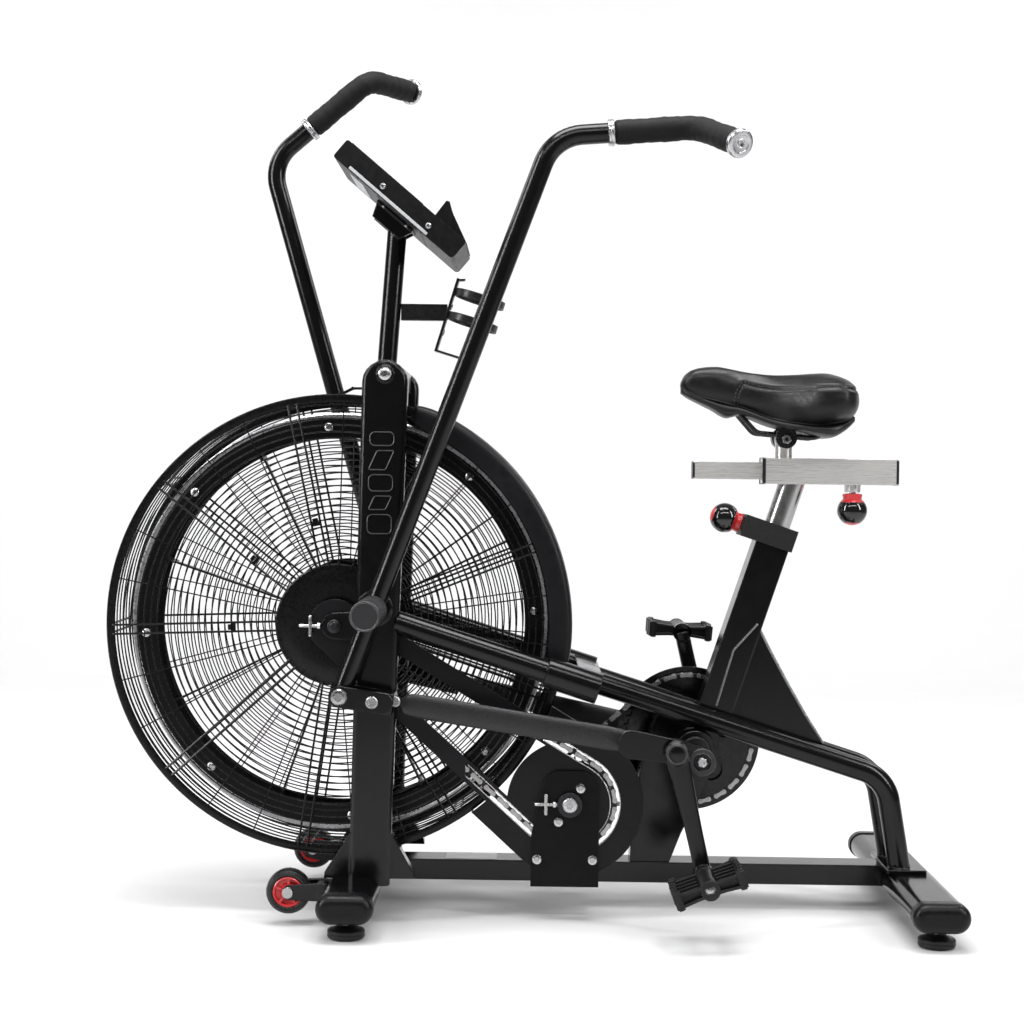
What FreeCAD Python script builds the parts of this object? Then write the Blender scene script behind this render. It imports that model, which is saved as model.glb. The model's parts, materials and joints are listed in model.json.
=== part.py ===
"""Air bike: a fan-loaded exercise bicycle with swinging arms.

Frame: +Z up, the rider faces -X, the rider's left side is -Y.  Millimetres.
The floor is Z = 0.  Each sub-part is written as its own STEP file.
"""
import FreeCAD, Part
import math
import os
from FreeCAD import Vector

os.makedirs("parts", exist_ok=True)

# ------------------------------------------------------------------ dimensions
FAN_X, FAN_Z = -254.0, 416.5          # fan axle
CAGE_R = 331.0                        # wire cage outer radius
CAGE_Y = 88.0                         # half depth of the cage over its grilles
GRILLE_T = 4.0
ROTOR_RI, ROTOR_RO = 272.0, 297.0     # rim bands of the fan wheel
ROTOR_Y = 30.0
GUARD_R = 340.0                       # wind guard outer radius
GUARD_A0, GUARD_A1 = -12.0, 72.0      # wind guard from, to (degrees)

STAB_L = 236.0                        # half length of the stabilizer tubes
STAB_W, STAB_H = 76.0, 38.0
STAB_Z = 45.0
FRONT_X, REAR_X = -222.0, 583.0
BASE_W, BASE_H, BASE_Z0 = 50.0, 30.0, 38.0

UP_Y0, UP_Y1 = 108.0, 138.0           # upright inner and outer face
UP_BX, UP_TX = -199.0, -184.5         # upright centre line at foot and head
UP_BW, UP_TW = 58.0, 65.0
UP_TZ = 768.0

PIV_X, PIV_Z = -194.6, 444.9          # arm pivot
ARM_Y = 164.0
ARM_R = 14.0
ARM_LEAN_L, ARM_LEAN_R = 20.2, -16.2  # degrees, rearward positive
LEVER = 128.0                         # pivot to link pin
PEG_Y = 300.0

CRK_X, CRK_Z = 266.0, 238.0           # crank axle
CRK_E = 40.0                          # throw of the link crankpin
CRK_A = 158.0                         # left crankpin direction at rest
PEDAL = (2.0, -152.0)                 # left pedal axle from the crank axle

JCK_X, JCK_Z = 84.0, 167.0            # intermediate shaft
PITCH = 12.7
T_CRANK, T_JACK_IN, T_JACK_OUT, T_FAN = 48, 16, 32, 12
Y_CH1, Y_CH2 = 66.0, -97.0            # planes of the crank chain and fan chain

TUBE_S = -0.3155                      # slope of the main frame tubes
TUBE_X0, TUBE_Z0 = -176.2, 427.4
FT_Y, FT_R = 124.0, 17.0              # front tubes
RT_Y, RT_R = 41.0, 16.0               # rear tubes

POST_LEAN = 18.3
POST_X, POST_Z = 407.5, 626.4         # post axis where it meets the slider
POST_R = 19.0
SL_X0, SL_X1, SL_ZC, SL_H = 363.0, 562.0, 645.4, 19.0
BAR_X0, BAR_L, BAR_H = 261.0, 250.0, 12.7
STEM_X, STEM_R = 395.0, 12.5

CON_X, CON_Z, CON_A = -169.5, 1025.5, 40.1
CON_L, CON_T, CON_W = 224.0, 32.0, 190.0

nodes = {}


# --------------------------------------------------------------------- helpers
def vec(p):
    return Vector(p[0], p[1], p[2])


def box(x0, x1, y0, y1, z0, z1):
    return Part.makeBox(x1 - x0, y1 - y0, z1 - z0, Vector(x0, y0, z0))


def cyl(p, d, r, h):
    return Part.makeCylinder(r, h, vec(p), vec(d))


def cyly(x, z, r, y0, y1):
    if y1 < y0:
        y0, y1 = y1, y0
    return Part.makeCylinder(r, y1 - y0, Vector(x, y0, z), Vector(0, 1, 0))


def ringy(x, z, ro, ri, y0, y1):
    return cyly(x, z, ro, y0, y1).cut(cyly(x, z, ri, min(y0, y1) - 1, max(y0, y1) + 1))


def poly(pts, y0, y1):
    ps = [Vector(x, y0, z) for x, z in pts]
    return Part.Face(Part.makePolygon(ps + [ps[0]])).extrude(Vector(0, y1 - y0, 0))


def hull2(x1, z1, r1, x2, z2, r2, y0, y1):
    d = math.hypot(x2 - x1, z2 - z1)
    b = math.atan2(z2 - z1, x2 - x1)
    a = math.acos((r1 - r2) / d)

    def q(x, z, r, t):
        return Vector(x + r * math.cos(t), y0, z + r * math.sin(t))
    e = [Part.LineSegment(q(x1, z1, r1, b + a), q(x2, z2, r2, b + a)).toShape(),
         Part.Arc(q(x2, z2, r2, b + a), q(x2, z2, r2, b), q(x2, z2, r2, b - a)).toShape(),
         Part.LineSegment(q(x2, z2, r2, b - a), q(x1, z1, r1, b - a)).toShape(),
         Part.Arc(q(x1, z1, r1, b - a), q(x1, z1, r1, b + math.pi), q(x1, z1, r1, b + a)).toShape()]
    return Part.Face(Part.Wire(e)).extrude(Vector(0, y1 - y0, 0))


def stadium_y(xc, zc, w, h, y0, y1):
    """Flat-oval bar along Y."""
    return hull2(xc - (w - h) / 2, zc, h / 2, xc + (w - h) / 2, zc, h / 2, y0, y1)


def path(pts, bend):
    """Straight runs joined by tangent arcs."""
    pts = [vec(p) for p in pts]
    edges, prev = [], pts[0]
    for i in range(1, len(pts) - 1):
        a, b, c = pts[i - 1], pts[i], pts[i + 1]
        u, w = (a - b), (c - b)
        u.normalize()
        w.normalize()
        ang = u.getAngle(w)
        r = bend[i - 1] if isinstance(bend, (list, tuple)) else bend
        t = r / math.tan(ang / 2)
        p1, p2 = b + u * t, b + w * t
        m = u + w
        m.normalize()
        mid = b + m * (r / math.sin(ang / 2) - r)
        edges.append(Part.LineSegment(prev, p1).toShape())
        edges.append(Part.Arc(p1, mid, p2).toShape())
        prev = p2
    edges.append(Part.LineSegment(prev, pts[-1]).toShape())
    return Part.Wire(edges)


def tube(pts, r, bend=40.0):
    w = path(pts, bend)
    d = vec(pts[1]) - vec(pts[0])
    c = Part.Wire([Part.makeCircle(r, vec(pts[0]), d)])
    return w.makePipeShell([c], True, True)


def sprocket(x, z, n, y0, y1, hole):
    r = PITCH / (2 * math.sin(math.pi / n))
    pts = []
    for i in range(n):
        for f, rr in ((-0.30, r - 3.2), (0.30, r - 3.2), (0.40, r + 1.0), (0.50, r + 2.6), (0.60, r + 1.0)):
            t = 2 * math.pi * (i + f) / n
            pts.append((x + rr * math.cos(t), z + rr * math.sin(t)))
    return poly(pts, y0, y1).cut(cyly(x, z, hole, y0 - 1, y1 + 1))


def pitch_r(n):
    return PITCH / (2 * math.sin(math.pi / n))


def chain(x1, z1, n1, x2, z2, n2, yc):
    out = []
    for s in (-1, 1):
        a, b = yc + s * 1.75, yc + s * 3.25
        y0, y1 = min(a, b), max(a, b)
        o = hull2(x1, z1, pitch_r(n1) + 3.6, x2, z2, pitch_r(n2) + 3.6, y0, y1)
        i = hull2(x1, z1, pitch_r(n1) - 3.6, x2, z2, pitch_r(n2) - 3.6, y0 - 1, y1 + 1)
        out.append(o.cut(i))
    return out


def mirror(s):
    return s.mirror(Vector(0, 0, 0), Vector(0, 1, 0))


def group(shapes):
    out = []
    for s in shapes:
        out.extend(s.Solids)
    return Part.makeCompound(out)


def fuse(first, *rest):
    s = first
    for r in rest:
        s = s.fuse(r)
    return s.removeSplitter()


def roty(s, x, z, deg):
    s = s.copy()
    s.rotate(Vector(x, 0, z), Vector(0, 1, 0), deg)
    return s


# -------------------------------------------------------------- base and floor
def stabilizer(xc):
    s = stadium_y(xc, STAB_Z, STAB_W, STAB_H, -STAB_L, STAB_L)
    s = s.cut(stadium_y(xc, STAB_Z, STAB_W - 6, STAB_H - 6, -STAB_L - 1, STAB_L + 1))
    for y in (-222, 222):
        s = s.cut(cyl((xc, y, 10), (0, 0, 1), 5.06, 30))
    return s


def stab_env(xc):
    return stadium_y(xc, STAB_Z, STAB_W, STAB_H, -STAB_L, STAB_L)


wheel_x, wheel_z, wheel_y = -310.0, 47.0, 150.0
fs = stabilizer(FRONT_X)
brackets = []
for s in (-1, 1):
    y0, y1 = (-138, -133) if s < 0 else (133, 138)
    b = poly([(-322, 36), (-300, 30), (-250, 30), (-238, 40), (-238, 58), (-262, 62), (-300, 60), (-322, 56)], y0, y1)
    b = b.cut(stab_env(FRONT_X)).cut(cyly(wheel_x, wheel_z, 4.0, y0 - 1, y1 + 1))
    brackets.append(b)
nodes["front_stabilizer"] = group([fs] + brackets)
nodes["rear_stabilizer"] = stabilizer(REAR_X)

caps = []
for xc in (FRONT_X, REAR_X):
    for s in (-1, 1):
        a, b = (STAB_L, STAB_L + 27) if s > 0 else (-STAB_L - 27, -STAB_L)
        c = stadium_y(xc, STAB_Z, STAB_W + 3, STAB_H + 3, a, b)
        outer = [e for e in c.Edges if abs(e.BoundBox.YMin - (STAB_L + 27) * s) < 0.01 and abs(e.BoundBox.YMax - (STAB_L + 27) * s) < 0.01]
        c = c.makeFillet(13.0, outer)
        p0, p1 = (STAB_L - 12, STAB_L) if s > 0 else (-STAB_L, -STAB_L + 12)
        p = stadium_y(xc, STAB_Z, STAB_W - 6.2, STAB_H - 6.2, p0, p1)
        p = p.cut(cyl((xc, 222 * s, 20), (0, 0, 1), 9.0, 50))
        caps.append(fuse(c, p))
nodes["stabilizer_caps"] = group(caps)

bt = box(FRONT_X + 5, REAR_X - 5, -BASE_W / 2, BASE_W / 2, BASE_Z0, BASE_Z0 + BASE_H)
bt_env = bt.copy()
bt = bt.cut(box(FRONT_X + 3, REAR_X - 3, -BASE_W / 2 + 3, BASE_W / 2 - 3, BASE_Z0 + 3, BASE_Z0 + BASE_H - 3))
for xc in (FRONT_X, REAR_X):
    bt = bt.cut(stab_env(xc))
solids = sorted(bt.Solids, key=lambda q: -q.Volume)
nodes["base_tube"] = solids[0]

foot_nuts = []
for name, xc, y in (("front_left_foot", FRONT_X, -222), ("front_right_foot", FRONT_X, 222),
                    ("rear_left_foot", REAR_X, -222), ("rear_right_foot", REAR_X, 222)):
    pad = cyl((xc, y, 0), (0, 0, 1), 25.5, 12)
    cone = Part.makeCone(25.5, 12.0, 5, Vector(xc, y, 12), Vector(0, 0, 1))
    stem = cyl((xc, y, 17), (0, 0, 1), 5.0, 36)
    nodes[name] = fuse(pad, cone, stem)
    nut = Part.Face(Part.makePolygon([Vector(xc + 9.5 * math.cos(math.radians(60 * i)), y + 9.5 * math.sin(math.radians(60 * i)), 20) for i in range(7)])).extrude(Vector(0, 0, 6))
    foot_nuts.append(nut.cut(cyl((xc, y, 19), (0, 0, 1), 5.06, 8)))

# transport wheels: hub and tyre turn together on a bolt
wheel_bolts = []
for s, name in ((-1, "left_transport_wheel"), (1, "right_transport_wheel")):
    y0, y1 = s * 139.0, s * 163.0
    hub = ringy(wheel_x, wheel_z, 21.0, 4.06, y0, y1)
    tyre = ringy(wheel_x, wheel_z, 31.5, 21.0, y0, y1)
    te = [e for e in tyre.Edges if e.Curve.TypeId == "Part::GeomCircle" and abs(e.Curve.Radius - 31.5) < 0.01]
    tyre = tyre.makeFillet(5.0, te)
    nodes[name] = group([hub, tyre])
    wb = cyly(wheel_x, wheel_z, 4.0, s * 128.0, s * 163.4)
    wb = fuse(wb, cyly(wheel_x, wheel_z, 7.5, s * 163.4, s * 168.5), cyly(wheel_x, wheel_z, 7.5, s * 128.0, s * 133.0))
    wheel_bolts.append(wb)

# --------------------------------------------------------------------- uprights
def up_edge(z, side):
    f = (z - 64.0) / (UP_TZ - 64.0)
    c = UP_BX + (UP_TX - UP_BX) * f
    w = UP_BW + (UP_TW - UP_BW) * f
    return c + side * w / 2


up_pts = [(up_edge(50, -1), 50), (up_edge(UP_TZ, -1), UP_TZ), (UP_TX - 27, 783), (UP_TX - 17, 794), (UP_TX + 17, 794),
          (UP_TX + 27, 783), (up_edge(UP_TZ, 1), UP_TZ), (up_edge(50, 1), 50)]
up_in = [(up_edge(40, -1) + 3.5, 40), (up_edge(UP_TZ, -1) + 3.5, UP_TZ - 4), (UP_TX - 22, 780), (UP_TX + 22, 780),
         (up_edge(UP_TZ, 1) - 3.5, UP_TZ - 4), (up_edge(40, 1) - 3.5, 40)]
up_env_l = poly(up_pts, -UP_Y1, -UP_Y0)
left_up = up_env_l.cut(poly(up_in, -UP_Y1 + 3, -UP_Y0 - 3))
plate = hull2(FAN_X, FAN_Z, 19, -190, FAN_Z, 22, -UP_Y0 - 4, -UP_Y0)
stub = cyly(PIV_X, PIV_Z, 10.0, -290, -UP_Y1 + 3)
boss = cyly(PIV_X, PIV_Z, 22.0, -UP_Y1 - 3, -UP_Y1 + 1)
left_up = fuse(left_up, plate, stub, boss).cut(cyly(FAN_X, FAN_Z, 6.0, -140, -100)).cut(stab_env(FRONT_X))
nodes["left_upright"] = group([sorted(left_up.Solids, key=lambda q: -q.Volume)[0]])
nodes["right_upright"] = mirror(nodes["left_upright"])

# ------------------------------------------------------------- mast and console
head = box(-208, -163, -UP_Y0, UP_Y0, 756, 786).cut(box(-205, -166, -UP_Y0 - 1, UP_Y0 + 1, 759, 783))
m0, m1 = Vector(-193.0, 0, 785.0), Vector(-177.2, 0, 1028.0)
md = m1 - m0
mast_o = Part.makeCylinder(14.3, md.Length, m0, md)
mast_i = Part.makeCylinder(12.3, md.Length + 20, m0 - md * 0.02, md)
flange = cyl((-193, 0, 786), (0, 0, 1), 22.0, 5)


def con(pts, y0, y1):
    """Polygon in console coordinates (along, out of face) extruded across."""
    c, s = math.cos(math.radians(CON_A)), math.sin(math.radians(CON_A))
    return poly([(CON_X + a * c + n * s, CON_Z - a * s + n * c) for a, n in pts], y0, y1)


def con_pt(a, n, y=0.0):
    c, s = math.cos(math.radians(CON_A)), math.sin(math.radians(CON_A))
    return (CON_X + a * c + n * s, y, CON_Z - a * s + n * c)


h2 = CON_L / 2
con_env = con([(-h2, -16), (-h2 + 10, -16), (h2 - 4, -16), (h2, -12), (h2, 16), (-h2, 16)], -CON_W / 2, CON_W / 2)
con_n = (math.sin(math.radians(CON_A)), 0, math.cos(math.radians(CON_A)))
mount = con([(-34, -20), (34, -20), (34, -16), (-34, -16)], -26, 26)
ears = con([(-26, -40), (26, -40), (34, -20), (-34, -20)], 14.4, 19.4)
ears2 = con([(-26, -40), (26, -40), (34, -20), (-34, -20)], -19.4, -14.4)
keep = con([(-200, -20), (200, -20), (200, 200), (-200, 200)], -60, 60)
mast = fuse(head, mast_o.cut(keep), flange, mount, ears, ears2).cut(mast_i.cut(keep))
nodes["console_mast"] = group([sorted(mast.Solids, key=lambda q: -q.Volume)[0]])

house = con_env
long_e = [e for e in house.Edges if e.BoundBox.YLength > CON_W - 1]
house = house.makeFillet(4.0, long_e)
lip = con([(50, 15), (48.5, 44), (53, 46), (64, 38), (112, 16), (112, 15)], -70, 70)
house = fuse(house, lip)
house = house.cut(con([(-102, 14), (24, 14), (24, 20), (-102, 20)], -78, 78))
btn_y = (-45.0, 45.0)
for y in btn_y:
    house = house.cut(cyl(con_pt(37.0, 9.0, y), con_n, 8.1, 10))
nodes["console_housing"] = house
nodes["console_screen"] = con([(-101.8, 14), (23.8, 14), (23.8, 16.4), (-101.8, 16.4)], -77.8, 77.8)
for y, nm in zip(btn_y, ("console_button_left", "console_button_right")):
    nodes[nm] = cyl(con_pt(37.0, 11.2, y), con_n, 8.0, 7.2)

# ----------------------------------------------------------------- bottle cage
b_arm = box(-172, -104, -7, 7, 861, 885).cut(mast_o)
rt, rb = (-90.0, 923.6), (-122.4, 816.0)
rl = math.hypot(rt[0] - rb[0], rt[1] - rb[1])
rd = ((rt[0] - rb[0]) / rl, (rt[1] - rb[1]) / rl)      # along the rail, upwards
rn = (rd[1], -rd[0])                                   # away from the mast


def rail(a, n):
    return (rb[0] + rd[0] * a + rn[0] * n, rb[1] + rd[1] * a + rn[1] * n)


def rpoly(pts, y0, y1):
    return poly([rail(a, n) for a, n in pts], y0, y1)


b_rail = rpoly([(0, 0), (rl, 0), (rl, 4), (0, 4)], -11, 11)
rings = []
for a in (52.0, 88.0):
    c = rail(a, 41.0)
    ro = Part.makeCylinder(38.0, 10, Vector(c[0], 0, c[1]), Vector(rd[0], 0, rd[1]))
    ri = Part.makeCylinder(35.5, 12, Vector(c[0] - rd[0], 0, c[1] - rd[1]), Vector(rd[0], 0, rd[1]))
    rings.append(ro.cut(ri))
b_shelf = rpoly([(0, 0), (3, 0), (3, 62), (0, 62)], -11, 11)
b_hook = rpoly([(rl - 3, 4), (rl, 4), (rl + 3, 12), (rl, 12)], -6, 6)
arm_cut = rpoly([(-40, 2), (200, 2), (200, 90), (-40, 90)], -50, 50)
bottle = fuse(b_rail, b_shelf, b_hook, b_arm.cut(arm_cut))
for r in rings:
    bottle = bottle.fuse(r)
nodes["bottle_cage"] = group([sorted(bottle.removeSplitter().Solids, key=lambda q: -q.Volume)[0]])

# ------------------------------------------------------------- main frame tubes
def tz(x):
    return TUBE_Z0 + TUBE_S * (x - TUBE_X0)


ft, clampd = [], []
cb = box(88, 124, -110, 110, 316, 354)
cb = roty(cb, 106, 335, 17.5)
for s in (-1, 1):
    t = tube([(-166, s * FT_Y, tz(-166)), (120, s * FT_Y, tz(120))], FT_R)
    t = t.cut(up_env_l if s < 0 else mirror(up_env_l))
    t = t.cut(tube([(-190, s * FT_Y, tz(-190)), (140, s * FT_Y, tz(140))], FT_R - 3))
    ft.append(sorted(t.Solids, key=lambda q: -q.Volume)[0])
    d = Vector(1, 0, TUBE_S)
    d.normalize()
    a = Vector(48, s * FT_Y, tz(48))
    sl = Part.makeCylinder(FT_R + 5, 78, a, d).cut(Part.makeCylinder(FT_R, 90, a - d * 5, d))
    clampd.append(sl)
t_env = [tube([(-200, s * FT_Y, tz(-200)), (130, s * FT_Y, tz(130))], FT_R) for s in (-1, 1)]
cross = fuse(cb, clampd[0], clampd[1]).cut(t_env[0]).cut(t_env[1])
cross = cross.cut(cyly(FAN_X, FAN_Z, GUARD_R + 1.5, -97, 97))
cross_env = cross
nodes["front_frame_tubes"] = group(ft + [cross])

rear = []
for s in (-1, 1):
    t = tube([(100, s * RT_Y, tz(100)), (545, s * RT_Y, tz(545)), (568, s * RT_Y, 66)], RT_R, 55.0)
    t = t.cut(cb).cut(box(500, 640, -100, 100, 0, 70))
    t = t.cut(tube([(90, s * RT_Y, tz(90)), (545, s * RT_Y, tz(545)), (568.5, s * RT_Y, 60)], RT_R - 3, 55.0))
    rear.append(sorted(t.Solids, key=lambda q: -q.Volume)[0])
foot_plate = box(546, 602, -66, 66, 64, 70).cut(bt_env).cut(box(500, 620, -70, 70, 60, 64))
nodes["rear_frame_tubes"] = group(rear + [foot_plate])
rear_env = rear

# ----------------------------------------------------------------- crank support
sup = poly([(175, 68), (233, 68), (250, 111), (304, 222), (304, 258), (262, 282), (214, 292), (195, 235), (178, 150)], -23, 23)
shell = cyly(CRK_X, CRK_Z, 29.0, -60, 56)
sup = fuse(sup, shell).cut(cyly(CRK_X, CRK_Z, 21.0, -70, 70))
nodes["crank_support"] = sup

# --------------------------------------------------------------- seat tube, post
th = math.radians(POST_LEAN)
pd = (math.sin(th), math.cos(th))
pn = (-math.cos(th), math.sin(th))     # forward normal


def post(s, n):
    return (POST_X + pd[0] * s + pn[0] * n, POST_Z + pd[1] * s + pn[1] * n)


def ppoly(pts, y0, y1):
    return poly([post(s, n) for s, n in pts], y0, y1)


def pcyl(s, r, h, n=0.0):
    x, z = post(s, n)
    return cyl((x, 0, z), (pd[0], 0, pd[1]), r, h)


st = ppoly([(-350, -25), (-64, -25), (-64, 25), (-350, 25)], -25, 25)
gus = poly([(300, 300), (352, 432), (361, 413), (378, 380), (402, 336), (430, 288), (457, 246), (457, 226), (300, 272)], -20, 20)
st_env = fuse(st, gus)
knob_s = -79.0
pin_cut = cyl((post(knob_s, 0)[0], 0, post(knob_s, 0)[1]), (pn[0], 0, pn[1]), 5.1, 90)
st = st_env.cut(pcyl(-330, POST_R + 0.06, 340)).cut(pin_cut)
nodes["seat_tube"] = st
col = ppoly([(-96, -29), (-64, -29), (-64, 50), (-96, 50)], -31, 31)
col_in = ppoly([(-120, -25), (-40, -25), (-40, 25), (-120, 25)], -25, 25)
col = col.cut(col_in).cut(pin_cut)
nodes["seat_collar"] = col.cut(st_env)

slide_out = box(SL_X0, SL_X1, -SL_H, SL_H, SL_ZC - SL_H, SL_ZC + SL_H)
sp = pcyl(-255, POST_R, 290).cut(pcyl(-260, POST_R - 3, 300))
keep_low = box(300, 500, -60, 60, SL_ZC - SL_H, 760)
sp = sp.cut(keep_low)
nodes["seat_post"] = group([sorted(sp.Solids, key=lambda q: -q.Volume)[0]])
so = slide_out.cut(box(SL_X0 - 1, SL_X1 - 4, -BAR_H - 0.06, BAR_H + 0.06, SL_ZC - BAR_H - 0.06, SL_ZC + BAR_H + 0.06))
slot = box(STEM_X - 13.2, STEM_X + 60, -13.2, 13.2, SL_ZC + 5, SL_ZC + 30)
so = so.cut(slot).cut(cyl((497.5, 0, SL_ZC - SL_H - 1), (0, 0, 1), 5.1, 8))
nodes["slider_tube"] = so
sb = box(BAR_X0, BAR_X0 + BAR_L, -BAR_H, BAR_H, SL_ZC - BAR_H, SL_ZC + BAR_H)
sb_stem = cyl((STEM_X, 0, SL_ZC + BAR_H - 1), (0, 0, 1), STEM_R, 30)
barrel = cyly(STEM_X, 692.0, 13.0, -14, 14)
sb = fuse(sb, sb_stem.cut(cyly(STEM_X, 692.0, 13.0, -20, 20)), barrel).cut(cyly(STEM_X, 692.0, 4.06, -20, 20))
nodes["slider_bar"] = sb


def knob(base, d, pin_len, stand):
    """Ball knob on a spring pin; base is where the neck meets its seat."""
    bx, bz = base
    parts = [cyl((bx - d[0] * pin_len, 0, bz - d[1] * pin_len), (d[0], 0, d[1]), 5.0, pin_len + stand + 4)]
    parts.append(cyl((bx + d[0] * stand, 0, bz + d[1] * stand), (d[0], 0, d[1]), 15.0, 5))
    c = (bx + d[0] * (stand + 25), bz + d[1] * (stand + 25))
    ball = Part.makeSphere(22.0, Vector(c[0], 0, c[1]))
    parts.append(ball)
    parts.append(cyl((c[0] + d[0] * 18, 0, c[1] + d[1] * 18), (d[0], 0, d[1]), 11.5, 5.5))
    return fuse(*parts)


kb = post(knob_s, 50.0)
nodes["post_knob"] = knob(kb, (pn[0], pn[1]), 50.0 - POST_R - 0.6, 2.0)
sk_seat = cyl((497.5, 0, SL_ZC - SL_H - 11), (0, 0, 1), 11.0, 11).cut(cyl((497.5, 0, 600), (0, 0, 1), 5.1, 40))
nodes["slider_tube"] = fuse(so, sk_seat)
nodes["slider_knob"] = knob((497.5, SL_ZC - SL_H - 11), (0.0, -1.0), 11 + SL_H - BAR_H - 0.7, 2.0)

# ------------------------------------------------------------------------ saddle
secs = [(236, 774.5, 761.5, 12), (246, 790.5, 751.5, 24), (266, 798.5, 742.5, 32), (300, 794.5, 733.5, 35), (336, 788.5, 724.5, 41),
        (372, 784.5, 713.5, 56), (408, 784.5, 705.5, 82), (440, 786.5, 702.5, 102), (468, 785.5, 704.5, 106), (490, 777.5, 711.5, 88),
        (502, 758.5, 730.5, 52)]


def sec_wire(x, zt, zb, hw, n=20):
    pts = []
    zc, hh = (zt + zb) / 2.0, (zt - zb) / 2.0
    for i in range(n):
        t = 2 * math.pi * i / n
        c, s = math.cos(t), math.sin(t)
        e = 0.72
        y = hw * math.copysign(abs(c) ** e, c)
        z = zc + hh * math.copysign(abs(s) ** e, s)
        pts.append(Vector(x, y, z))
    return Part.makePolygon(pts + [pts[0]])


cushion = Part.makeLoft([sec_wire(*q) for q in secs], True, True)
nodes["saddle_cushion"] = cushion
rails = []
for s in (-1, 1):
    y = 24.0 * s
    r = tube([(318, y * 0.75, 739), (352, y, 701), (440, y, 694), (462, y * 1.5, 717)], 3.5, 16.0)
    rails.append(r)
cheeks = []
for s in (-1, 1):
    ya, yb = (14.3, 30.0) if s > 0 else (-30.0, -14.3)
    cheeks.append(cyly(STEM_X, 694.5, 15.5, ya, yb))
bolt = cyly(STEM_X, 692.0, 4.0, -34, 34)
frame = fuse(rails[0], rails[1], cheeks[0], cheeks[1], bolt)
tie = box(STEM_X - 9, STEM_X + 9, -30, 30, 701.5, 704.5)
frame = frame.cut(cushion)
nodes["saddle_frame"] = group([sorted(frame.Solids, key=lambda q: -q.Volume)[0]])

# ---------------------------------------------------------------- fan cage, wheel
def grille(y0, y1, hole):
    def pt(r, a):
        return Vector(FAN_X + r * math.cos(a), y0, FAN_Z + r * math.sin(a))

    def circ(r):
        return Part.Wire([Part.makeCircle(r, Vector(FAN_X, y0, FAN_Z), Vector(0, 1, 0))])
    wires = [circ(CAGE_R), circ(hole)]
    radii = [88, 112, 136, 160, 184, 208, 232, 256, 280, 304, 323]
    n = 16
    for i in range(len(radii) - 1):
        r0, r1 = radii[i] + 1.5, radii[i + 1] - 1.5
        for k in range(n):
            a0 = 2 * math.pi * k / n
            a1 = 2 * math.pi * (k + 1) / n
            g0, g1 = 1.6 / r0, 1.6 / r1
            am = (a0 + a1) / 2
            e = [Part.Arc(pt(r1, a0 + g1), pt(r1, am), pt(r1, a1 - g1)).toShape(),
                 Part.LineSegment(pt(r1, a1 - g1), pt(r0, a1 - g0)).toShape(),
                 Part.Arc(pt(r0, a1 - g0), pt(r0, am), pt(r0, a0 + g0)).toShape(),
                 Part.LineSegment(pt(r0, a0 + g0), pt(r1, a0 + g1)).toShape()]
            wires.append(Part.Wire(e))
    f = Part.Face(wires)
    f.validate()
    return f.extrude(Vector(0, y1 - y0, 0))


nodes["left_fan_grille"] = grille(-CAGE_Y, -CAGE_Y + GRILLE_T, 34.0)
nodes["right_fan_grille"] = grille(CAGE_Y - GRILLE_T, CAGE_Y, 12.0)

hoops = ringy(FAN_X, FAN_Z, CAGE_R, CAGE_R - 4, -2, 2)
hp = [ringy(FAN_X, FAN_Z, CAGE_R, CAGE_R - 4, y - 2, y + 2) for y in (-56, -28, 28, 56)]
for k in range(16):
    a = 22.5 * k + 4.0
    b = box(FAN_X + CAGE_R - 3.8, FAN_X + CAGE_R - 0.2, -CAGE_Y + GRILLE_T, CAGE_Y - GRILLE_T, FAN_Z - 2, FAN_Z + 2)
    hp.append(roty(b, FAN_X, FAN_Z, -a))
hoops = hoops.multiFuse(hp)
nodes["cage_hoops"] = hoops


def sector(ro, ri, y0, y1, a0, a1):
    def pt(r, d):
        t = math.radians(d)
        return Vector(FAN_X + r * math.cos(t), y0, FAN_Z + r * math.sin(t))
    am = (a0 + a1) / 2
    e = [Part.Arc(pt(ro, a0), pt(ro, am), pt(ro, a1)).toShape(), Part.LineSegment(pt(ro, a1), pt(ri, a1)).toShape(),
         Part.Arc(pt(ri, a1), pt(ri, am), pt(ri, a0)).toShape(), Part.LineSegment(pt(ri, a0), pt(ro, a0)).toShape()]
    return Part.Face(Part.Wire(e)).extrude(Vector(0, y1 - y0, 0))


wg = sector(GUARD_R, GUARD_R - 4, -93, 93, GUARD_A0, GUARD_A1)
wg = wg.fuse(sector(GUARD_R, 303, -93, -90, GUARD_A0, GUARD_A1)).fuse(sector(GUARD_R, 303, 90, 93, GUARD_A0, GUARD_A1))
nodes["wind_guard"] = wg.removeSplitter()

nodes["fan_axle"] = fuse(cyly(FAN_X, FAN_Z, 6.0, -124, 124), cyly(FAN_X, FAN_Z, 9.5, -120, -112), cyly(FAN_X, FAN_Z, 9.5, 112, 120),
                         cyly(FAN_X, FAN_Z, 11.0, 90, 107.5))

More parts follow.
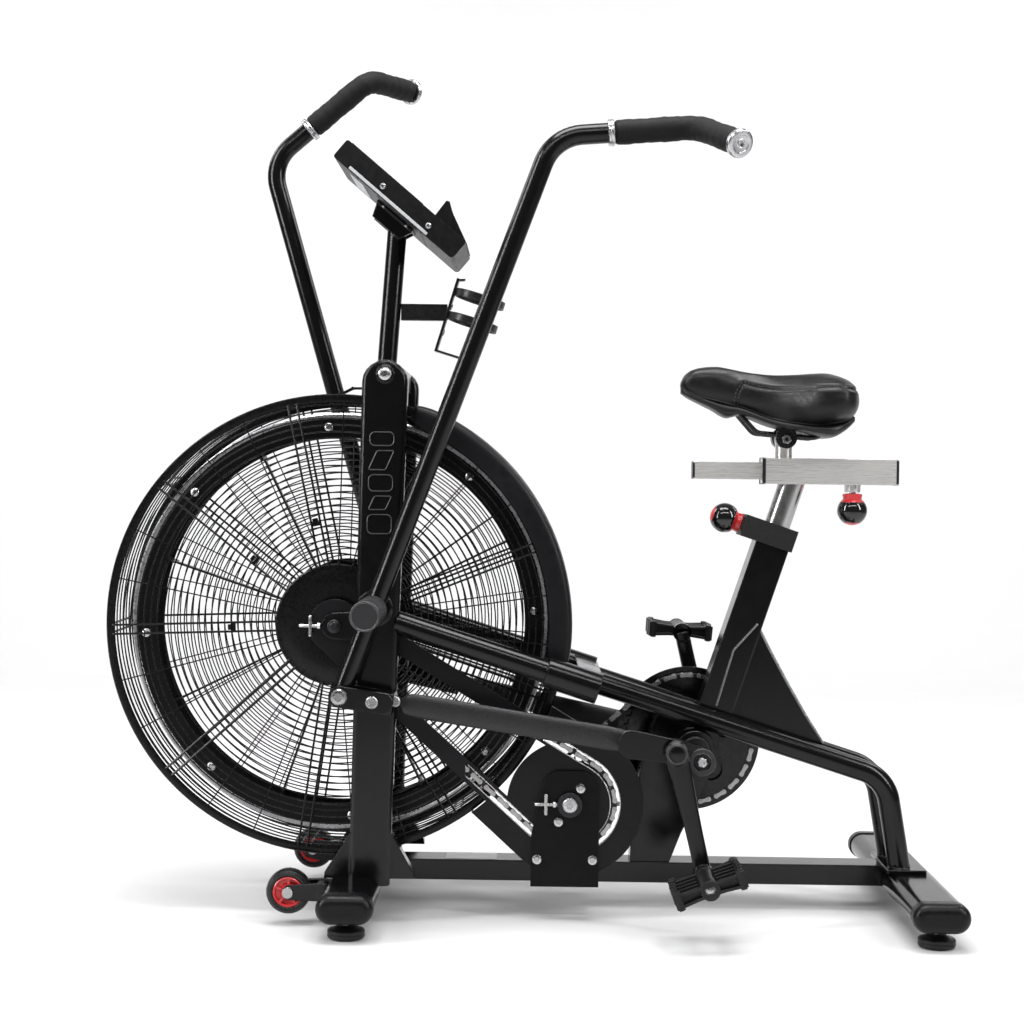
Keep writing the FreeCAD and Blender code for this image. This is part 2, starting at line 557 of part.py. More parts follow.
hub = cyly(FAN_X, FAN_Z, 30.0, -56, 70)
hub = fuse(hub, cyly(FAN_X, FAN_Z, 16.0, -101.5, -56), cyly(FAN_X, FAN_Z, 70.0, -3, 3))
hub = fuse(hub, sprocket(FAN_X, FAN_Z, T_FAN, Y_CH2 - 1.5, Y_CH2 + 1.5, 5.0))
blades = []
for k in range(8):
    a = 45.0 * k + 26.5
    b = box(FAN_X + 26, FAN_X + 264, -6, 6, FAN_Z - 1.5, FAN_Z + 1.5)
    b = b.fuse(box(FAN_X + 262, FAN_X + ROTOR_RO - 1, -ROTOR_Y + 4, ROTOR_Y - 4, FAN_Z - 1.5, FAN_Z + 1.5))
    blades.append(roty(b, FAN_X, FAN_Z, -a))
band1 = ringy(FAN_X, FAN_Z, ROTOR_RO, ROTOR_RI, -ROTOR_Y, -ROTOR_Y + 4)
band2 = ringy(FAN_X, FAN_Z, ROTOR_RO, ROTOR_RI, ROTOR_Y - 4, ROTOR_Y)
screws = []
for k in range(8):
    t = math.radians(45.0 * k + 4.0)
    for s in (-1, 1):
        screws.append(cyly(FAN_X + 285 * math.cos(t), FAN_Z + 285 * math.sin(t), 5.5, s * ROTOR_Y, s * (ROTOR_Y + 3)))
rotor = hub.multiFuse(blades + [band1, band2] + screws)
rotor = rotor.cut(cyly(FAN_X, FAN_Z, 6.06, -120, 120))
nodes["fan_rotor"] = rotor

# -------------------------------------------------- intermediate shaft and chains
R_JO, R_F = pitch_r(T_JACK_OUT), pitch_r(T_FAN)
cage_cyl = cyly(FAN_X, FAN_Z, 330.0, -112, -90)
gp = hull2(FAN_X, FAN_Z, 63, JCK_X, JCK_Z, 105, -106, -103).cut(cage_cyl)
gp = gp.fuse(hull2(FAN_X, FAN_Z, 38, JCK_X, JCK_Z, 79, -106, -103))
window = hull2(FAN_X, FAN_Z, R_F - 12, JCK_X, JCK_Z, R_JO - 12, -108, -101)
window = window.cut(cyly(JCK_X, JCK_Z, 90, -109, -100)).cut(cyly(FAN_X, FAN_Z, 46, -109, -100))
gp = gp.cut(window)
ring = hull2(FAN_X, FAN_Z, R_F + 7, JCK_X, JCK_Z, R_JO + 7, -108, -101).cut(
    hull2(FAN_X, FAN_Z, R_F - 7, JCK_X, JCK_Z, R_JO - 7, -109, -100))
zone = fuse(box(44, 260, -110, -99, 118, 300), box(118, 260, -110, -99, 40, 119),
            poly([(-66, 60), (42, 60), (42, 190), (-66, 290)], -110, -99))
ringz = ring.common(zone)
gp = gp.cut(ringz).cut(cyly(JCK_X, JCK_Z, 19.0, -110, -99)).cut(cyly(FAN_X, FAN_Z, 7.0, -110, -99))
rim_o = hull2(FAN_X, FAN_Z, 63, JCK_X, JCK_Z, 105, -103, -92).cut(hull2(FAN_X, FAN_Z, 60.5, JCK_X, JCK_Z, 102.5, -110, -90)).cut(cage_cyl)
gp = fuse(gp, rim_o)
nodes["chain_guard"] = group([sorted(gp.Solids, key=lambda q: -q.Volume)[0]])
nodes["drive_chains"] = group(chain(CRK_X, CRK_Z, T_CRANK, JCK_X, JCK_Z, T_JACK_IN, Y_CH1)
                              + chain(FAN_X, FAN_Z, T_FAN, JCK_X, JCK_Z, T_JACK_OUT, Y_CH2))

jb = fuse(box(42, 126, -112, 50, 68, 73),
          poly([(29, 49), (126, 49), (126, 190), (118, 206), (104, 214), (64, 214), (50, 206), (43, 190), (29, 120)], -112, -107),
          poly([(45, 68), (123, 68), (112, 200), (56, 200)], 45, 50))
jb = jb.cut(cyly(JCK_X, JCK_Z, 17.5, -115, 60))
notch = hull2(FAN_X, FAN_Z, 85.4, JCK_X, JCK_Z, 105.4, -106.3, -91.8)
jb = jb.cut(notch)
nodes["jackshaft_bracket"] = group([sorted(jb.Solids, key=lambda q: -q.Volume)[0]] if len(jb.Solids) == 1 else jb.Solids)

js = fuse(cyly(JCK_X, JCK_Z, 8.5, -117.5, 72), cyly(JCK_X, JCK_Z, 15.0, -94, -70), cyly(JCK_X, JCK_Z, 13.0, 55, 71),
          sprocket(JCK_X, JCK_Z, T_JACK_OUT, Y_CH2 - 1.5, Y_CH2 + 1.5, 5.0),
          sprocket(JCK_X, JCK_Z, T_JACK_IN, Y_CH1 - 1.5, Y_CH1 + 1.5, 5.0))
nodes["jackshaft"] = js

nodes["bearings"] = group([ringy(JCK_X, JCK_Z, 17.5, 8.56, -118, -107), ringy(JCK_X, JCK_Z, 17.5, 8.56, 40, 50),
                           ringy(CRK_X, CRK_Z, 21.0, 10.06, -60, -44), ringy(CRK_X, CRK_Z, 21.0, 10.06, 40, 56)])

# ------------------------------------------------------------------------ cranks
ca = math.radians(CRK_A)
PLX, PLZ = CRK_X + CRK_E * math.cos(ca), CRK_Z + CRK_E * math.sin(ca)
PRX, PRZ = 2 * CRK_X - PLX, 2 * CRK_Z - PLZ
nodes["crank_axle"] = fuse(cyly(CRK_X, CRK_Z, 10.0, -155, 155), cyly(CRK_X, CRK_Z, 20.0, -66, -60.5), cyly(CRK_X, CRK_Z, 20.0, 56.5, 60))
cw = sprocket(CRK_X, CRK_Z, T_CRANK, Y_CH1 - 1.5, Y_CH1 + 1.5, 10.0)
for k in range(5):
    t = math.radians(72 * k + 20)
    cw = cw.cut(cyly(CRK_X + 58 * math.cos(t), CRK_Z + 58 * math.sin(t), 17.0, 60, 72))
gd = cyly(CRK_X, CRK_Z, 109.0, 72.5, 75.0).cut(cyly(CRK_X, CRK_Z, 10.0, 60, 80))
gdw = ringy(CRK_X, CRK_Z, 24.0, 10.0, Y_CH1 + 1.5, 72.5)
cw = fuse(cw, gd, gdw)
nodes["chainwheel"] = cw


def crank(s, px, pz):
    w = hull2(CRK_X, CRK_Z, 20, px, pz, 17, -165, -155)
    pin = cyly(px, pz, 8.0, -178, -160)
    sgn = 1 if s < 0 else -1
    ex, ez = CRK_X + sgn * PEDAL[0], CRK_Z + sgn * PEDAL[1]
    arm = hull2(px, pz, 17, ex, ez, 11.5, -193, -177)
    sock = cyly(ex, ez, 14.0, -193, -177)
    cap = cyly(px, pz, 13.0, -196, -193)
    spin = cyly(ex, ez, 6.0, -284, -193)
    axle_nut = cyly(CRK_X, CRK_Z, 9.0, -166.4, -165)
    f = fuse(w, pin, arm, sock, cap, spin, axle_nut)
    return f if s < 0 else mirror(f)


nodes["left_crank"] = crank(-1, PLX, PLZ)
nodes["right_crank"] = crank(1, PRX, PRZ)


def pedal(s, ex, ez, tilt):
    body = box(ex - 50, ex + 50, -290, -199, ez - 13, ez + 13)
    body = body.cut(box(ex - 40, ex - 15, -276, -211, ez - 20, ez + 20)).cut(box(ex + 15, ex + 40, -276, -211, ez - 20, ez + 20))
    body = body.cut(box(ex - 12, ex + 12, -287, -202, ez + 11, ez + 20)).cut(box(ex - 12, ex + 12, -287, -202, ez - 20, ez - 11))
    body = fuse(body, cyly(ex, ez, 11, -199, -195)).cut(cyly(ex, ez, 6.06, -286, -190))
    body = roty(body, ex, ez, tilt)
    return body if s < 0 else mirror(body)


nodes["left_pedal"] = pedal(-1, CRK_X + PEDAL[0], CRK_Z + PEDAL[1], -20.0)
nodes["right_pedal"] = pedal(1, CRK_X - PEDAL[0], CRK_Z - PEDAL[1], 4.0)

# -------------------------------------------------------------- arms and linkage
def arm(s, lean):
    pts = [(PIV_X, -ARM_Y, PIV_Z - LEVER), (PIV_X, -ARM_Y, PIV_Z + 702), (PIV_X + 77, -ARM_Y, PIV_Z + 737)]
    t = tube([pts[0], pts[1], pts[2]], ARM_R, [62.0])
    t = t.cut(tube([(PIV_X, -ARM_Y, PIV_Z - LEVER + 16), pts[1], pts[2]], ARM_R - 2.5, [62.0]))
    sl = cyly(PIV_X, PIV_Z, 18.0, -294, -142)
    bs = cyly(PIV_X, PIV_Z - LEVER, 15.0, -178, -150)
    f = fuse(t, sl, bs).cut(cyly(PIV_X, PIV_Z, 13.0, -295, -141))
    bush = [ringy(PIV_X, PIV_Z, 13.0, 10.06, -168, -142.5), ringy(PIV_X, PIV_Z, 13.0, 10.06, -288, -264)]
    f = f.cut(cyly(PIV_X, PIV_Z - LEVER, 6.06, -190, -140))
    f = group([f] + bush)
    f = roty(f, PIV_X, PIV_Z, lean)
    return f if s < 0 else mirror(f)


gx, gz = PIV_X + 77, PIV_Z + 737       # where the grip begins, arm upright
arm_dir = Vector(77, 0, 35)
arm_dir.normalize()
g_pts = [(gx, -ARM_Y, gz), (gx + 105, -ARM_Y, gz + 105 * 35.0 / 77.0), (gx + 161, -ARM_Y - 80, gz + 31)]


def grip(s, lean):
    t = tube(g_pts, 17.0, [34.0])
    t = roty(t, PIV_X, PIV_Z, lean)
    return t if s < 0 else mirror(t)


def hardware(s, lean):
    d = Vector(*arm_dir)
    r = Part.makeCylinder(18.5, 9, Vector(gx, -ARM_Y, gz) - d * 9.0, d)
    r = r.cut(Part.makeCylinder(ARM_R, 12, Vector(gx, -ARM_Y, gz) - d * 10.5, d))
    e = Vector(*g_pts[2])
    ed = e - Vector(*g_pts[1])
    ed.normalize()
    c = Part.makeCylinder(20.0, 9, e, ed)
    c = c.cut(Part.makeCylinder(4.0, 12, e + ed * 5, ed))
    f = group([r, c])
    f = roty(f, PIV_X, PIV_Z, lean)
    return f if s < 0 else mirror(f)


def peg(s, lean):
    r = ringy(PIV_X, PIV_Z, 20.5, 18.0, -294, -184)
    cap = cyly(PIV_X, PIV_Z, 20.5, -PEG_Y, -294)
    f = fuse(r, cap)
    return f if s < 0 else mirror(f)


nodes["left_arm"] = arm(-1, ARM_LEAN_L)
nodes["right_arm"] = arm(1, ARM_LEAN_R)
nodes["left_grip"] = grip(-1, ARM_LEAN_L)
nodes["right_grip"] = grip(1, ARM_LEAN_R)
nodes["left_grip_trim"] = hardware(-1, ARM_LEAN_L)
nodes["right_grip_trim"] = hardware(1, ARM_LEAN_R)
nodes["left_foot_peg"] = peg(-1, ARM_LEAN_L)
nodes["right_foot_peg"] = peg(1, ARM_LEAN_R)


def lever_pt(lean):
    t = math.radians(lean)
    return PIV_X - LEVER * math.sin(t), PIV_Z - LEVER * math.cos(t)


ALX, ALZ = lever_pt(ARM_LEAN_L)
ARX, ARZ = lever_pt(ARM_LEAN_R)
LINK_REAR = 172.0                      # rear end of the left link bar at rest


def link(s, ax, az, px, pz):
    L = math.hypot(px - ax, pz - az)
    ang = math.degrees(math.atan2(pz - az, px - ax))
    reach = (LINK_REAR - ALX) / math.cos(math.radians(math.degrees(math.atan2(PLZ - ALZ, PLX - ALX))))
    x0 = ax
    inner = hull2(x0, az, 15, x0 + 60, az, 15, -149, -141)
    outer = hull2(x0, az, 15, x0 + 60, az, 15, -187, -179)
    block = box(x0 + 46, x0 + 72, -187, -141, az - 15, az + 15)
    bar = hull2(x0 + 75, az, 17, x0 + reach - 17, az, 17, -153, -141)
    pin = cyly(x0, az, 6.0, -191, -140)
    head1 = cyly(x0, az, 10.5, -192, -187)
    f = fuse(inner, outer, block, bar, pin, head1, cyly(x0 + 46, az, 8.0, -191, -187))
    f = roty(f, ax, az, -ang)
    return f if s < 0 else mirror(f)


nodes["left_link"] = link(-1, ALX, ALZ, PLX, PLZ)
nodes["right_link"] = link(1, ARX, ARZ, PRX, PRZ)


def rod_end(s, ax, az, px, pz):
    ang = math.degrees(math.atan2(pz - az, px - ax))
    f = hull2(px - 62, pz, 20, px, pz, 17, -175, -167)
    f = f.cut(cyly(px, pz, 8.06, -180, -160))
    f = roty(f, px, pz, -ang)
    return f if s < 0 else mirror(f)


nodes["left_rod_end"] = rod_end(-1, ALX, ALZ, PLX, PLZ)
nodes["right_rod_end"] = rod_end(1, ARX, ARZ, PRX, PRZ)

# ---------------------------------------------------------------------- fasteners
fb = list(foot_nuts) + list(wheel_bolts)
for s in (-1, 1):
    fb.append(cyly(-184, 774, 8.0, s * UP_Y1, s * (UP_Y1 + 5)))
for x, z in ((38, 88), (117, 88), (99, 190), (68, 142)):
    fb.append(cyly(x, z, 6.0, -115.5, -112))
fb.append(cyly(JCK_X, JCK_Z, 10.0, -122, -118))
# chain tensioners: a threaded stem with a cross bar
fb.append(fuse(cyl((JCK_X - 46, -116, JCK_Z), (1, 0, 0), 2.5, 28), cyl((JCK_X - 34, -116, JCK_Z - 14), (0, 0, 1), 3.0, 28)))
fb.append(fuse(cyl((FAN_X - 44, -115, FAN_Z), (1, 0, 0), 2.5, 24), cyl((FAN_X - 34, -115, FAN_Z - 13), (0, 0, 1), 3.0, 26)))
nodes["frame_bolts"] = group(fb)

# ------------------------------------------------------------------------- export
bb = Part.makeCompound(list(nodes.values())).BoundBox
SHIFT = Vector(-round((bb.XMin + bb.XMax) / 2, 3), -round((bb.YMin + bb.YMax) / 2, 3), -round(bb.ZMin, 3))
print("count", len(nodes), "shift", tuple(SHIFT), "size", round(bb.XLength, 1), round(bb.YLength, 1), round(bb.ZLength, 1))
print("points AL", ALX, ALZ, "AR", ARX, ARZ, "PL", PLX, PLZ, "PR", PRX, PRZ)
for name, shape in nodes.items():
    shape = shape.copy()
    shape.translate(SHIFT)
    bad = [s for s in shape.Solids if not s.isValid()]
    if not shape.Solids or bad or shape.Volume <= 0:
        print("PROBLEM", name, len(shape.Solids), len(bad), shape.Volume)
    shape.exportStep("parts/%s.step" % name)
    print("%-24s solids %2d volume %.0f" % (name, len(shape.Solids), shape.Volume))
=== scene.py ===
"""Air bike: looks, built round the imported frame.

Lengths below are in design millimetres and are turned into the row frame by W().
"""
import json
import math
import random

import bpy
import bmesh
from mathutils import Matrix, Vector
from mathutils.bvhtree import BVHTree

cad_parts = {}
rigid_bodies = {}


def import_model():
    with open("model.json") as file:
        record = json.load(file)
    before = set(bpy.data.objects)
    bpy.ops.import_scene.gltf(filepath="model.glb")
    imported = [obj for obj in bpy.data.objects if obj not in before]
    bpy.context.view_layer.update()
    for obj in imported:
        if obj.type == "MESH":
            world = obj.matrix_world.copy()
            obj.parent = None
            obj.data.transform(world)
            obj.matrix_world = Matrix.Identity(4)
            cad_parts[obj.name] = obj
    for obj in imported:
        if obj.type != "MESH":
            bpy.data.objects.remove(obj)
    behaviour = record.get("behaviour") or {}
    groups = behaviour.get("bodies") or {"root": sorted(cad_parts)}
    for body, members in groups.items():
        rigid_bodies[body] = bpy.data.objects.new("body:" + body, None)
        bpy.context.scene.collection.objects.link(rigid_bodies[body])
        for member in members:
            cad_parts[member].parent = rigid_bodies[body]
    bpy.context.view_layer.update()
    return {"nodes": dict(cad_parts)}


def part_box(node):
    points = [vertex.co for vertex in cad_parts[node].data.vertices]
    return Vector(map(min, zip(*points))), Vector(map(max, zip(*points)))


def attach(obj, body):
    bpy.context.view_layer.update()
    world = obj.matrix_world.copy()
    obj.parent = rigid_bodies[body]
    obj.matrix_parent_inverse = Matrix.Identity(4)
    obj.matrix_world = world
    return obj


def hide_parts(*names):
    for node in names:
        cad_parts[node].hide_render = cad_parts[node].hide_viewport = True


for o in list(bpy.data.objects):
    bpy.data.objects.remove(o)

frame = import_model()
NODES = frame["nodes"]
scene = bpy.context.scene
random.seed(7)


def bx(n):
    lo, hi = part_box(n)
    return [v * 1000 for v in lo], [v * 1000 for v in hi]


_lo, _hi = bx("fan_rotor")
FAN_X, FAN_Z = -254.0, (_lo[2] + _hi[2]) / 2
OX = (_lo[0] + _hi[0]) / 2 - FAN_X


def W(p):
    return Vector(((p[0] + OX) / 1000.0, p[1] / 1000.0, p[2] / 1000.0))


# ------------------------------------------------------------------- materials
def make_mat(name, base, rough, metal=0.0, coat=0.0, coat_rough=0.12, spec=0.5, var=0.25, vscale=40.0, rvar=0.08,
             bumps=(), edge=None, edge_wear_and_highlight_amt=0.5, bevel=0.0009, brushed=None, sheen=0.0, second=None, second_amt=0.0):
    m = bpy.data.materials.new(name)
    m.use_nodes = True
    nt = m.node_tree
    for n in list(nt.nodes):
        nt.nodes.remove(n)
    N, L = nt.nodes.new, nt.links.new
    out = N("ShaderNodeOutputMaterial")
    bs = N("ShaderNodeBsdfPrincipled")
    L(bs.outputs[0], out.inputs[0])
    tc = N("ShaderNodeTexCoord")
    co = tc.outputs["Object"]
    n1 = N("ShaderNodeTexNoise")
    n1.inputs["Scale"].default_value = vscale
    n1.inputs["Detail"].default_value = 5.0
    L(co, n1.inputs["Vector"])
    mx = N("ShaderNodeMix")
    mx.data_type = "RGBA"
    lo = [c * (1 - var) for c in base[:3]] + [1]
    hi = [min(1, c * (1 + var)) for c in base[:3]] + [1]
    mx.inputs[6].default_value = lo
    mx.inputs[7].default_value = hi
    L(n1.outputs["Fac"], mx.inputs[0])
    col = mx.outputs[2]
    if second is not None:
        n3 = N("ShaderNodeTexNoise")
        n3.inputs["Scale"].default_value = vscale * 0.23
        n3.inputs["Detail"].default_value = 3.0
        L(co, n3.inputs["Vector"])
        rp = N("ShaderNodeMapRange")
        rp.inputs[1].default_value = 0.45
        rp.inputs[2].default_value = 0.7
        rp.inputs[4].default_value = second_amt
        L(n3.outputs["Fac"], rp.inputs[0])
        m2 = N("ShaderNodeMix")
        m2.data_type = "RGBA"
        L(rp.outputs[0], m2.inputs[0])
        L(col, m2.inputs[6])
        m2.inputs[7].default_value = list(second) + [1]
        col = m2.outputs[2]
    n2 = N("ShaderNodeTexNoise")
    n2.inputs["Scale"].default_value = vscale * 2.3
    n2.inputs["Detail"].default_value = 4.0
    if brushed is not None:
        mp = N("ShaderNodeMapping")
        mp.inputs["Scale"].default_value = brushed
        L(co, mp.inputs["Vector"])
        L(mp.outputs[0], n2.inputs["Vector"])
        n2.inputs["Scale"].default_value = 1.0
    else:
        L(co, n2.inputs["Vector"])
    rr = N("ShaderNodeMapRange")
    rr.inputs[1].default_value = 0.3
    rr.inputs[2].default_value = 0.7
    rr.inputs[3].default_value = max(0.02, rough - rvar)
    rr.inputs[4].default_value = min(1.0, rough + rvar)
    L(n2.outputs["Fac"], rr.inputs[0])
    rough_out = rr.outputs[0]
    normal = None
    if bevel > 0:
        bv = N("ShaderNodeBevel")
        bv.samples = 4
        bv.inputs["Radius"].default_value = bevel
        normal = bv.outputs[0]
        # lighter colour where the bevel rounds the corners: partly wear, partly a painted highlight along them
        if edge is not None:
            gm = N("ShaderNodeNewGeometry")
            dt = N("ShaderNodeVectorMath")
            dt.operation = "DOT_PRODUCT"
            L(bv.outputs[0], dt.inputs[0])
            L(gm.outputs["Normal"], dt.inputs[1])
            er = N("ShaderNodeMapRange")
            er.inputs[1].default_value = 0.98
            er.inputs[2].default_value = 0.80
            er.inputs[3].default_value = 0.0
            er.inputs[4].default_value = edge_wear_and_highlight_amt
            L(dt.outputs["Value"], er.inputs[0])
            ml = N("ShaderNodeMath")
            ml.operation = "MULTIPLY"
            L(er.outputs[0], ml.inputs[0])
            L(n1.outputs["Fac"], ml.inputs[1])
            m3 = N("ShaderNodeMix")
            m3.data_type = "RGBA"
            L(ml.outputs[0], m3.inputs[0])
            L(col, m3.inputs[6])
            m3.inputs[7].default_value = list(edge) + [1]
            col = m3.outputs[2]
    if brushed is not None:
        bb = N("ShaderNodeBump")
        bb.inputs["Strength"].default_value = 0.05
        bb.inputs["Distance"].default_value = 0.0003
        L(n2.outputs["Fac"], bb.inputs["Height"])
        if normal is not None:
            L(normal, bb.inputs["Normal"])
        normal = bb.outputs[0]
    for kind, sc, st, dist in bumps:
        if kind == "noise":
            t = N("ShaderNodeTexNoise")
            t.inputs["Scale"].default_value = sc
            t.inputs["Detail"].default_value = 4.0
            h = t.outputs["Fac"]
        elif kind == "cells":
            t = N("ShaderNodeTexVoronoi")
            t.inputs["Scale"].default_value = sc
            t.feature = "DISTANCE_TO_EDGE"
            h = t.outputs["Distance"]
        elif kind == "dots":
            t = N("ShaderNodeTexVoronoi")
            t.inputs["Scale"].default_value = sc
            h = t.outputs["Distance"]
        else:
            t = N("ShaderNodeTexWave")
            t.inputs["Scale"].default_value = sc
            h = t.outputs["Fac"]
        L(co, t.inputs["Vector"])
        b = N("ShaderNodeBump")
        b.inputs["Strength"].default_value = st
        b.inputs["Distance"].default_value = dist
        L(h, b.inputs["Height"])
        if normal is not None:
            L(normal, b.inputs["Normal"])
        normal = b.outputs[0]
    L(col, bs.inputs["Base Color"])
    L(rough_out, bs.inputs["Roughness"])
    if normal is not None:
        L(normal, bs.inputs["Normal"])
    bs.inputs["Metallic"].default_value = metal
    bs.inputs["Coat Weight"].default_value = coat
    bs.inputs["Coat Roughness"].default_value = coat_rough
    bs.inputs["Specular IOR Level"].default_value = spec
    bs.inputs["Sheen Weight"].default_value = sheen
    return m


M = {}
M["frame_paint"] = make_mat("powder_gloss", (0.0028, 0.0028, 0.0032), 0.17, coat=0.0, spec=0.30, var=0.22, vscale=24, rvar=0.035,
                            bumps=[("noise", 1400, 0.025, 0.0002)], edge=(0.035, 0.035, 0.038), edge_wear_and_highlight_amt=0.4, bevel=0.0034)
M["guard_paint"] = make_mat("guard_matte", (0.0042, 0.0042, 0.0052), 0.40, coat=0.0, spec=0.22, var=0.2, vscale=50,
                            bumps=[("noise", 1300, 0.08, 0.0003)], edge=(0.04, 0.04, 0.042), edge_wear_and_highlight_amt=0.5, bevel=0.0018)
M["plate_black"] = make_mat("plate_black", (0.003, 0.003, 0.0034), 0.42, spec=0.13, var=0.3, vscale=50,
                            bumps=[("noise", 1100, 0.18, 0.0004)], edge=(0.09, 0.09, 0.1), edge_wear_and_highlight_amt=0.6, bevel=0.0012)
M["cage_wire"] = make_mat("wire_coated", (0.003, 0.003, 0.0034), 0.28, spec=0.22, var=0.3, vscale=80,
                          bumps=[("noise", 1500, 0.08, 0.0003)], bevel=0.0)
M["fan_wheel"] = make_mat("fan_wheel_black", (0.003, 0.003, 0.0034), 0.34, spec=0.18, var=0.3, vscale=60,
                          bumps=[("noise", 900, 0.12, 0.0004)], edge=(0.04, 0.04, 0.042), edge_wear_and_highlight_amt=0.5)
# light grey standing in for the top light reflected by the rotor's glossy black rim: painted reflection
M["trim_alu"] = make_mat("trim_aluminium", (0.50, 0.50, 0.51), 0.30, metal=1.0, var=0.1, vscale=90, rvar=0.1, bevel=0.0005,
                         bumps=[("noise", 1200, 0.08, 0.0002)])
M["end_cap"] = make_mat("cap_plastic", (0.0038, 0.0038, 0.0042), 0.34, spec=0.20, var=0.2, vscale=60,
                        bumps=[("noise", 1500, 0.25, 0.0004)], edge=(0.04, 0.04, 0.042), edge_wear_and_highlight_amt=0.4)
M["foot_rubber"] = make_mat("foot_rubber", (0.006, 0.006, 0.0062), 0.50, spec=0.35, var=0.3, vscale=90,
                            bumps=[("noise", 1400, 0.3, 0.0005)], edge=(0.04, 0.04, 0.042), edge_wear_and_highlight_amt=0.4)
M["tyre"] = make_mat("tyre_rubber", (0.005, 0.005, 0.0055), 0.30, spec=0.45, var=0.3, vscale=90,
                     bumps=[("noise", 1400, 0.12, 0.0003)], edge=(0.04, 0.04, 0.042), edge_wear_and_highlight_amt=0.3)
M["red_plastic"] = make_mat("red_plastic", (0.52, 0.018, 0.022), 0.34, spec=0.5, coat=0.3, var=0.18, vscale=120,
                            bumps=[("noise", 1300, 0.1, 0.0003)], edge=(0.9, 0.35, 0.3), edge_wear_and_highlight_amt=0.4, bevel=0.0006)
M["grip_foam"] = make_mat("grip_foam", (0.0042, 0.0042, 0.0046), 0.66, spec=0.2, var=0.35, vscale=220, sheen=0.0,
                          bumps=[("cells", 1100, 0.35, 0.0006), ("noise", 420, 0.35, 0.0009)], bevel=0.0)
M["peg_metal"] = make_mat("peg_knurled", (0.022, 0.022, 0.024), 0.36, metal=0.8, var=0.2, vscale=200,
                          bumps=[("dots", 620, 0.75, 0.0010)], edge=(0.35, 0.35, 0.35), edge_wear_and_highlight_amt=0.6, bevel=0.0005)
M["peg_cap"] = make_mat("peg_cap_satin", (0.040, 0.040, 0.042), 0.38, metal=0.6, var=0.12, vscale=160,
                        bumps=[("noise", 1600, 0.22, 0.0003)], edge=(0.6, 0.6, 0.6), edge_wear_and_highlight_amt=0.9, bevel=0.0010)
M["bright_trim"] = make_mat("turned_aluminium", (0.52, 0.52, 0.53), 0.27, metal=1.0, var=0.08, vscale=120, rvar=0.08,
                            bumps=[("noise", 1500, 0.06, 0.0002)], bevel=0.0005)
M["link_paint"] = make_mat("link_texture", (0.018, 0.018, 0.019), 0.34, metal=0.30, var=0.3, vscale=260, spec=0.5,
                           bumps=[("noise", 620, 0.55, 0.0009), ("dots", 900, 0.3, 0.0005)], edge=(0.4, 0.4, 0.4), edge_wear_and_highlight_amt=0.5, bevel=0.0015)
M["chrome"] = make_mat("post_chrome", (0.46, 0.455, 0.45), 0.22, metal=1.0, var=0.05, vscale=60, rvar=0.04,
                       bumps=[("noise", 300, 0.03, 0.0002)], bevel=0.0006)
M["brushed"] = make_mat("brushed_steel", (0.70, 0.69, 0.665), 0.30, metal=0.62, var=0.05, vscale=45, rvar=0.06,
                        brushed=(26.0, 1700.0, 1700.0), second=(0.60, 0.59, 0.565), second_amt=0.5, bevel=0.0016)
M["fastener"] = make_mat("zinc_fastener", (0.40, 0.40, 0.395), 0.28, metal=1.0, var=0.12, vscale=200, rvar=0.1,
                         bumps=[("noise", 1500, 0.1, 0.0002)], bevel=0.0006)
M["dark_steel"] = make_mat("dark_steel", (0.030, 0.030, 0.032), 0.34, metal=0.8, var=0.2, vscale=200, rvar=0.1,
                           bumps=[("noise", 1500, 0.12, 0.0002)], edge=(0.4, 0.4, 0.4), edge_wear_and_highlight_amt=0.6, bevel=0.0008)
M["chain_steel"] = make_mat("chain_nickel", (0.40, 0.395, 0.385), 0.28, metal=1.0, var=0.14, vscale=300, rvar=0.1,
                            bumps=[("noise", 1500, 0.1, 0.0002)], bevel=0.0003)
M["chainwheel_black"] = make_mat("chainwheel_black", (0.0035, 0.0035, 0.004), 0.20, spec=0.35, var=0.3, vscale=70,
                                 bumps=[("noise", 900, 0.08, 0.0003)], edge=(0.04, 0.04, 0.042), edge_wear_and_highlight_amt=0.6)
M["pedal_resin"] = make_mat("pedal_resin", (0.0055, 0.0055, 0.006), 0.38, spec=0.32, var=0.3, vscale=120,
                            bumps=[("noise", 1500, 0.25, 0.0004)], edge=(0.04, 0.04, 0.042), edge_wear_and_highlight_amt=0.5)
M["knob"] = make_mat("knob_gloss", (0.005, 0.005, 0.0055), 0.10, spec=0.5, coat=0.2, coat_rough=0.05, var=0.2, vscale=90,
                     bumps=[("noise", 700, 0.03, 0.0003)], bevel=0.0)
M["collar"] = make_mat("collar_texture", (0.0055, 0.0055, 0.006), 0.50, var=0.35, vscale=240, spec=0.26,
                       bumps=[("noise", 700, 0.8, 0.0010), ("dots", 850, 0.5, 0.0006)], edge=(0.04, 0.04, 0.042), edge_wear_and_highlight_amt=0.6, bevel=0.0014)
M["console_case"] = make_mat("console_case", (0.0038, 0.0038, 0.0042), 0.42, spec=0.20, var=0.25, vscale=80,
                             bumps=[("noise", 1300, 0.28, 0.0004)], edge=(0.04, 0.04, 0.042), edge_wear_and_highlight_amt=0.5)
M["console_grey"] = make_mat("console_grey", (0.42, 0.43, 0.44), 0.42, var=0.08, vscale=90,
                             bumps=[("noise", 1300, 0.15, 0.0003)], edge=(0.6, 0.6, 0.6), edge_wear_and_highlight_amt=0.4)
M["screen"] = make_mat("console_lens", (0.030, 0.036, 0.034), 0.10, coat=0.6, coat_rough=0.04, var=0.15, vscale=30,
                       bumps=[("noise", 400, 0.02, 0.0003)], bevel=0.0006)
M["lcd_mark"] = make_mat("lcd_mark", (0.20, 0.24, 0.21), 0.45, var=0.15, vscale=200, bumps=[("noise", 900, 0.1, 0.0002)], bevel=0.0)
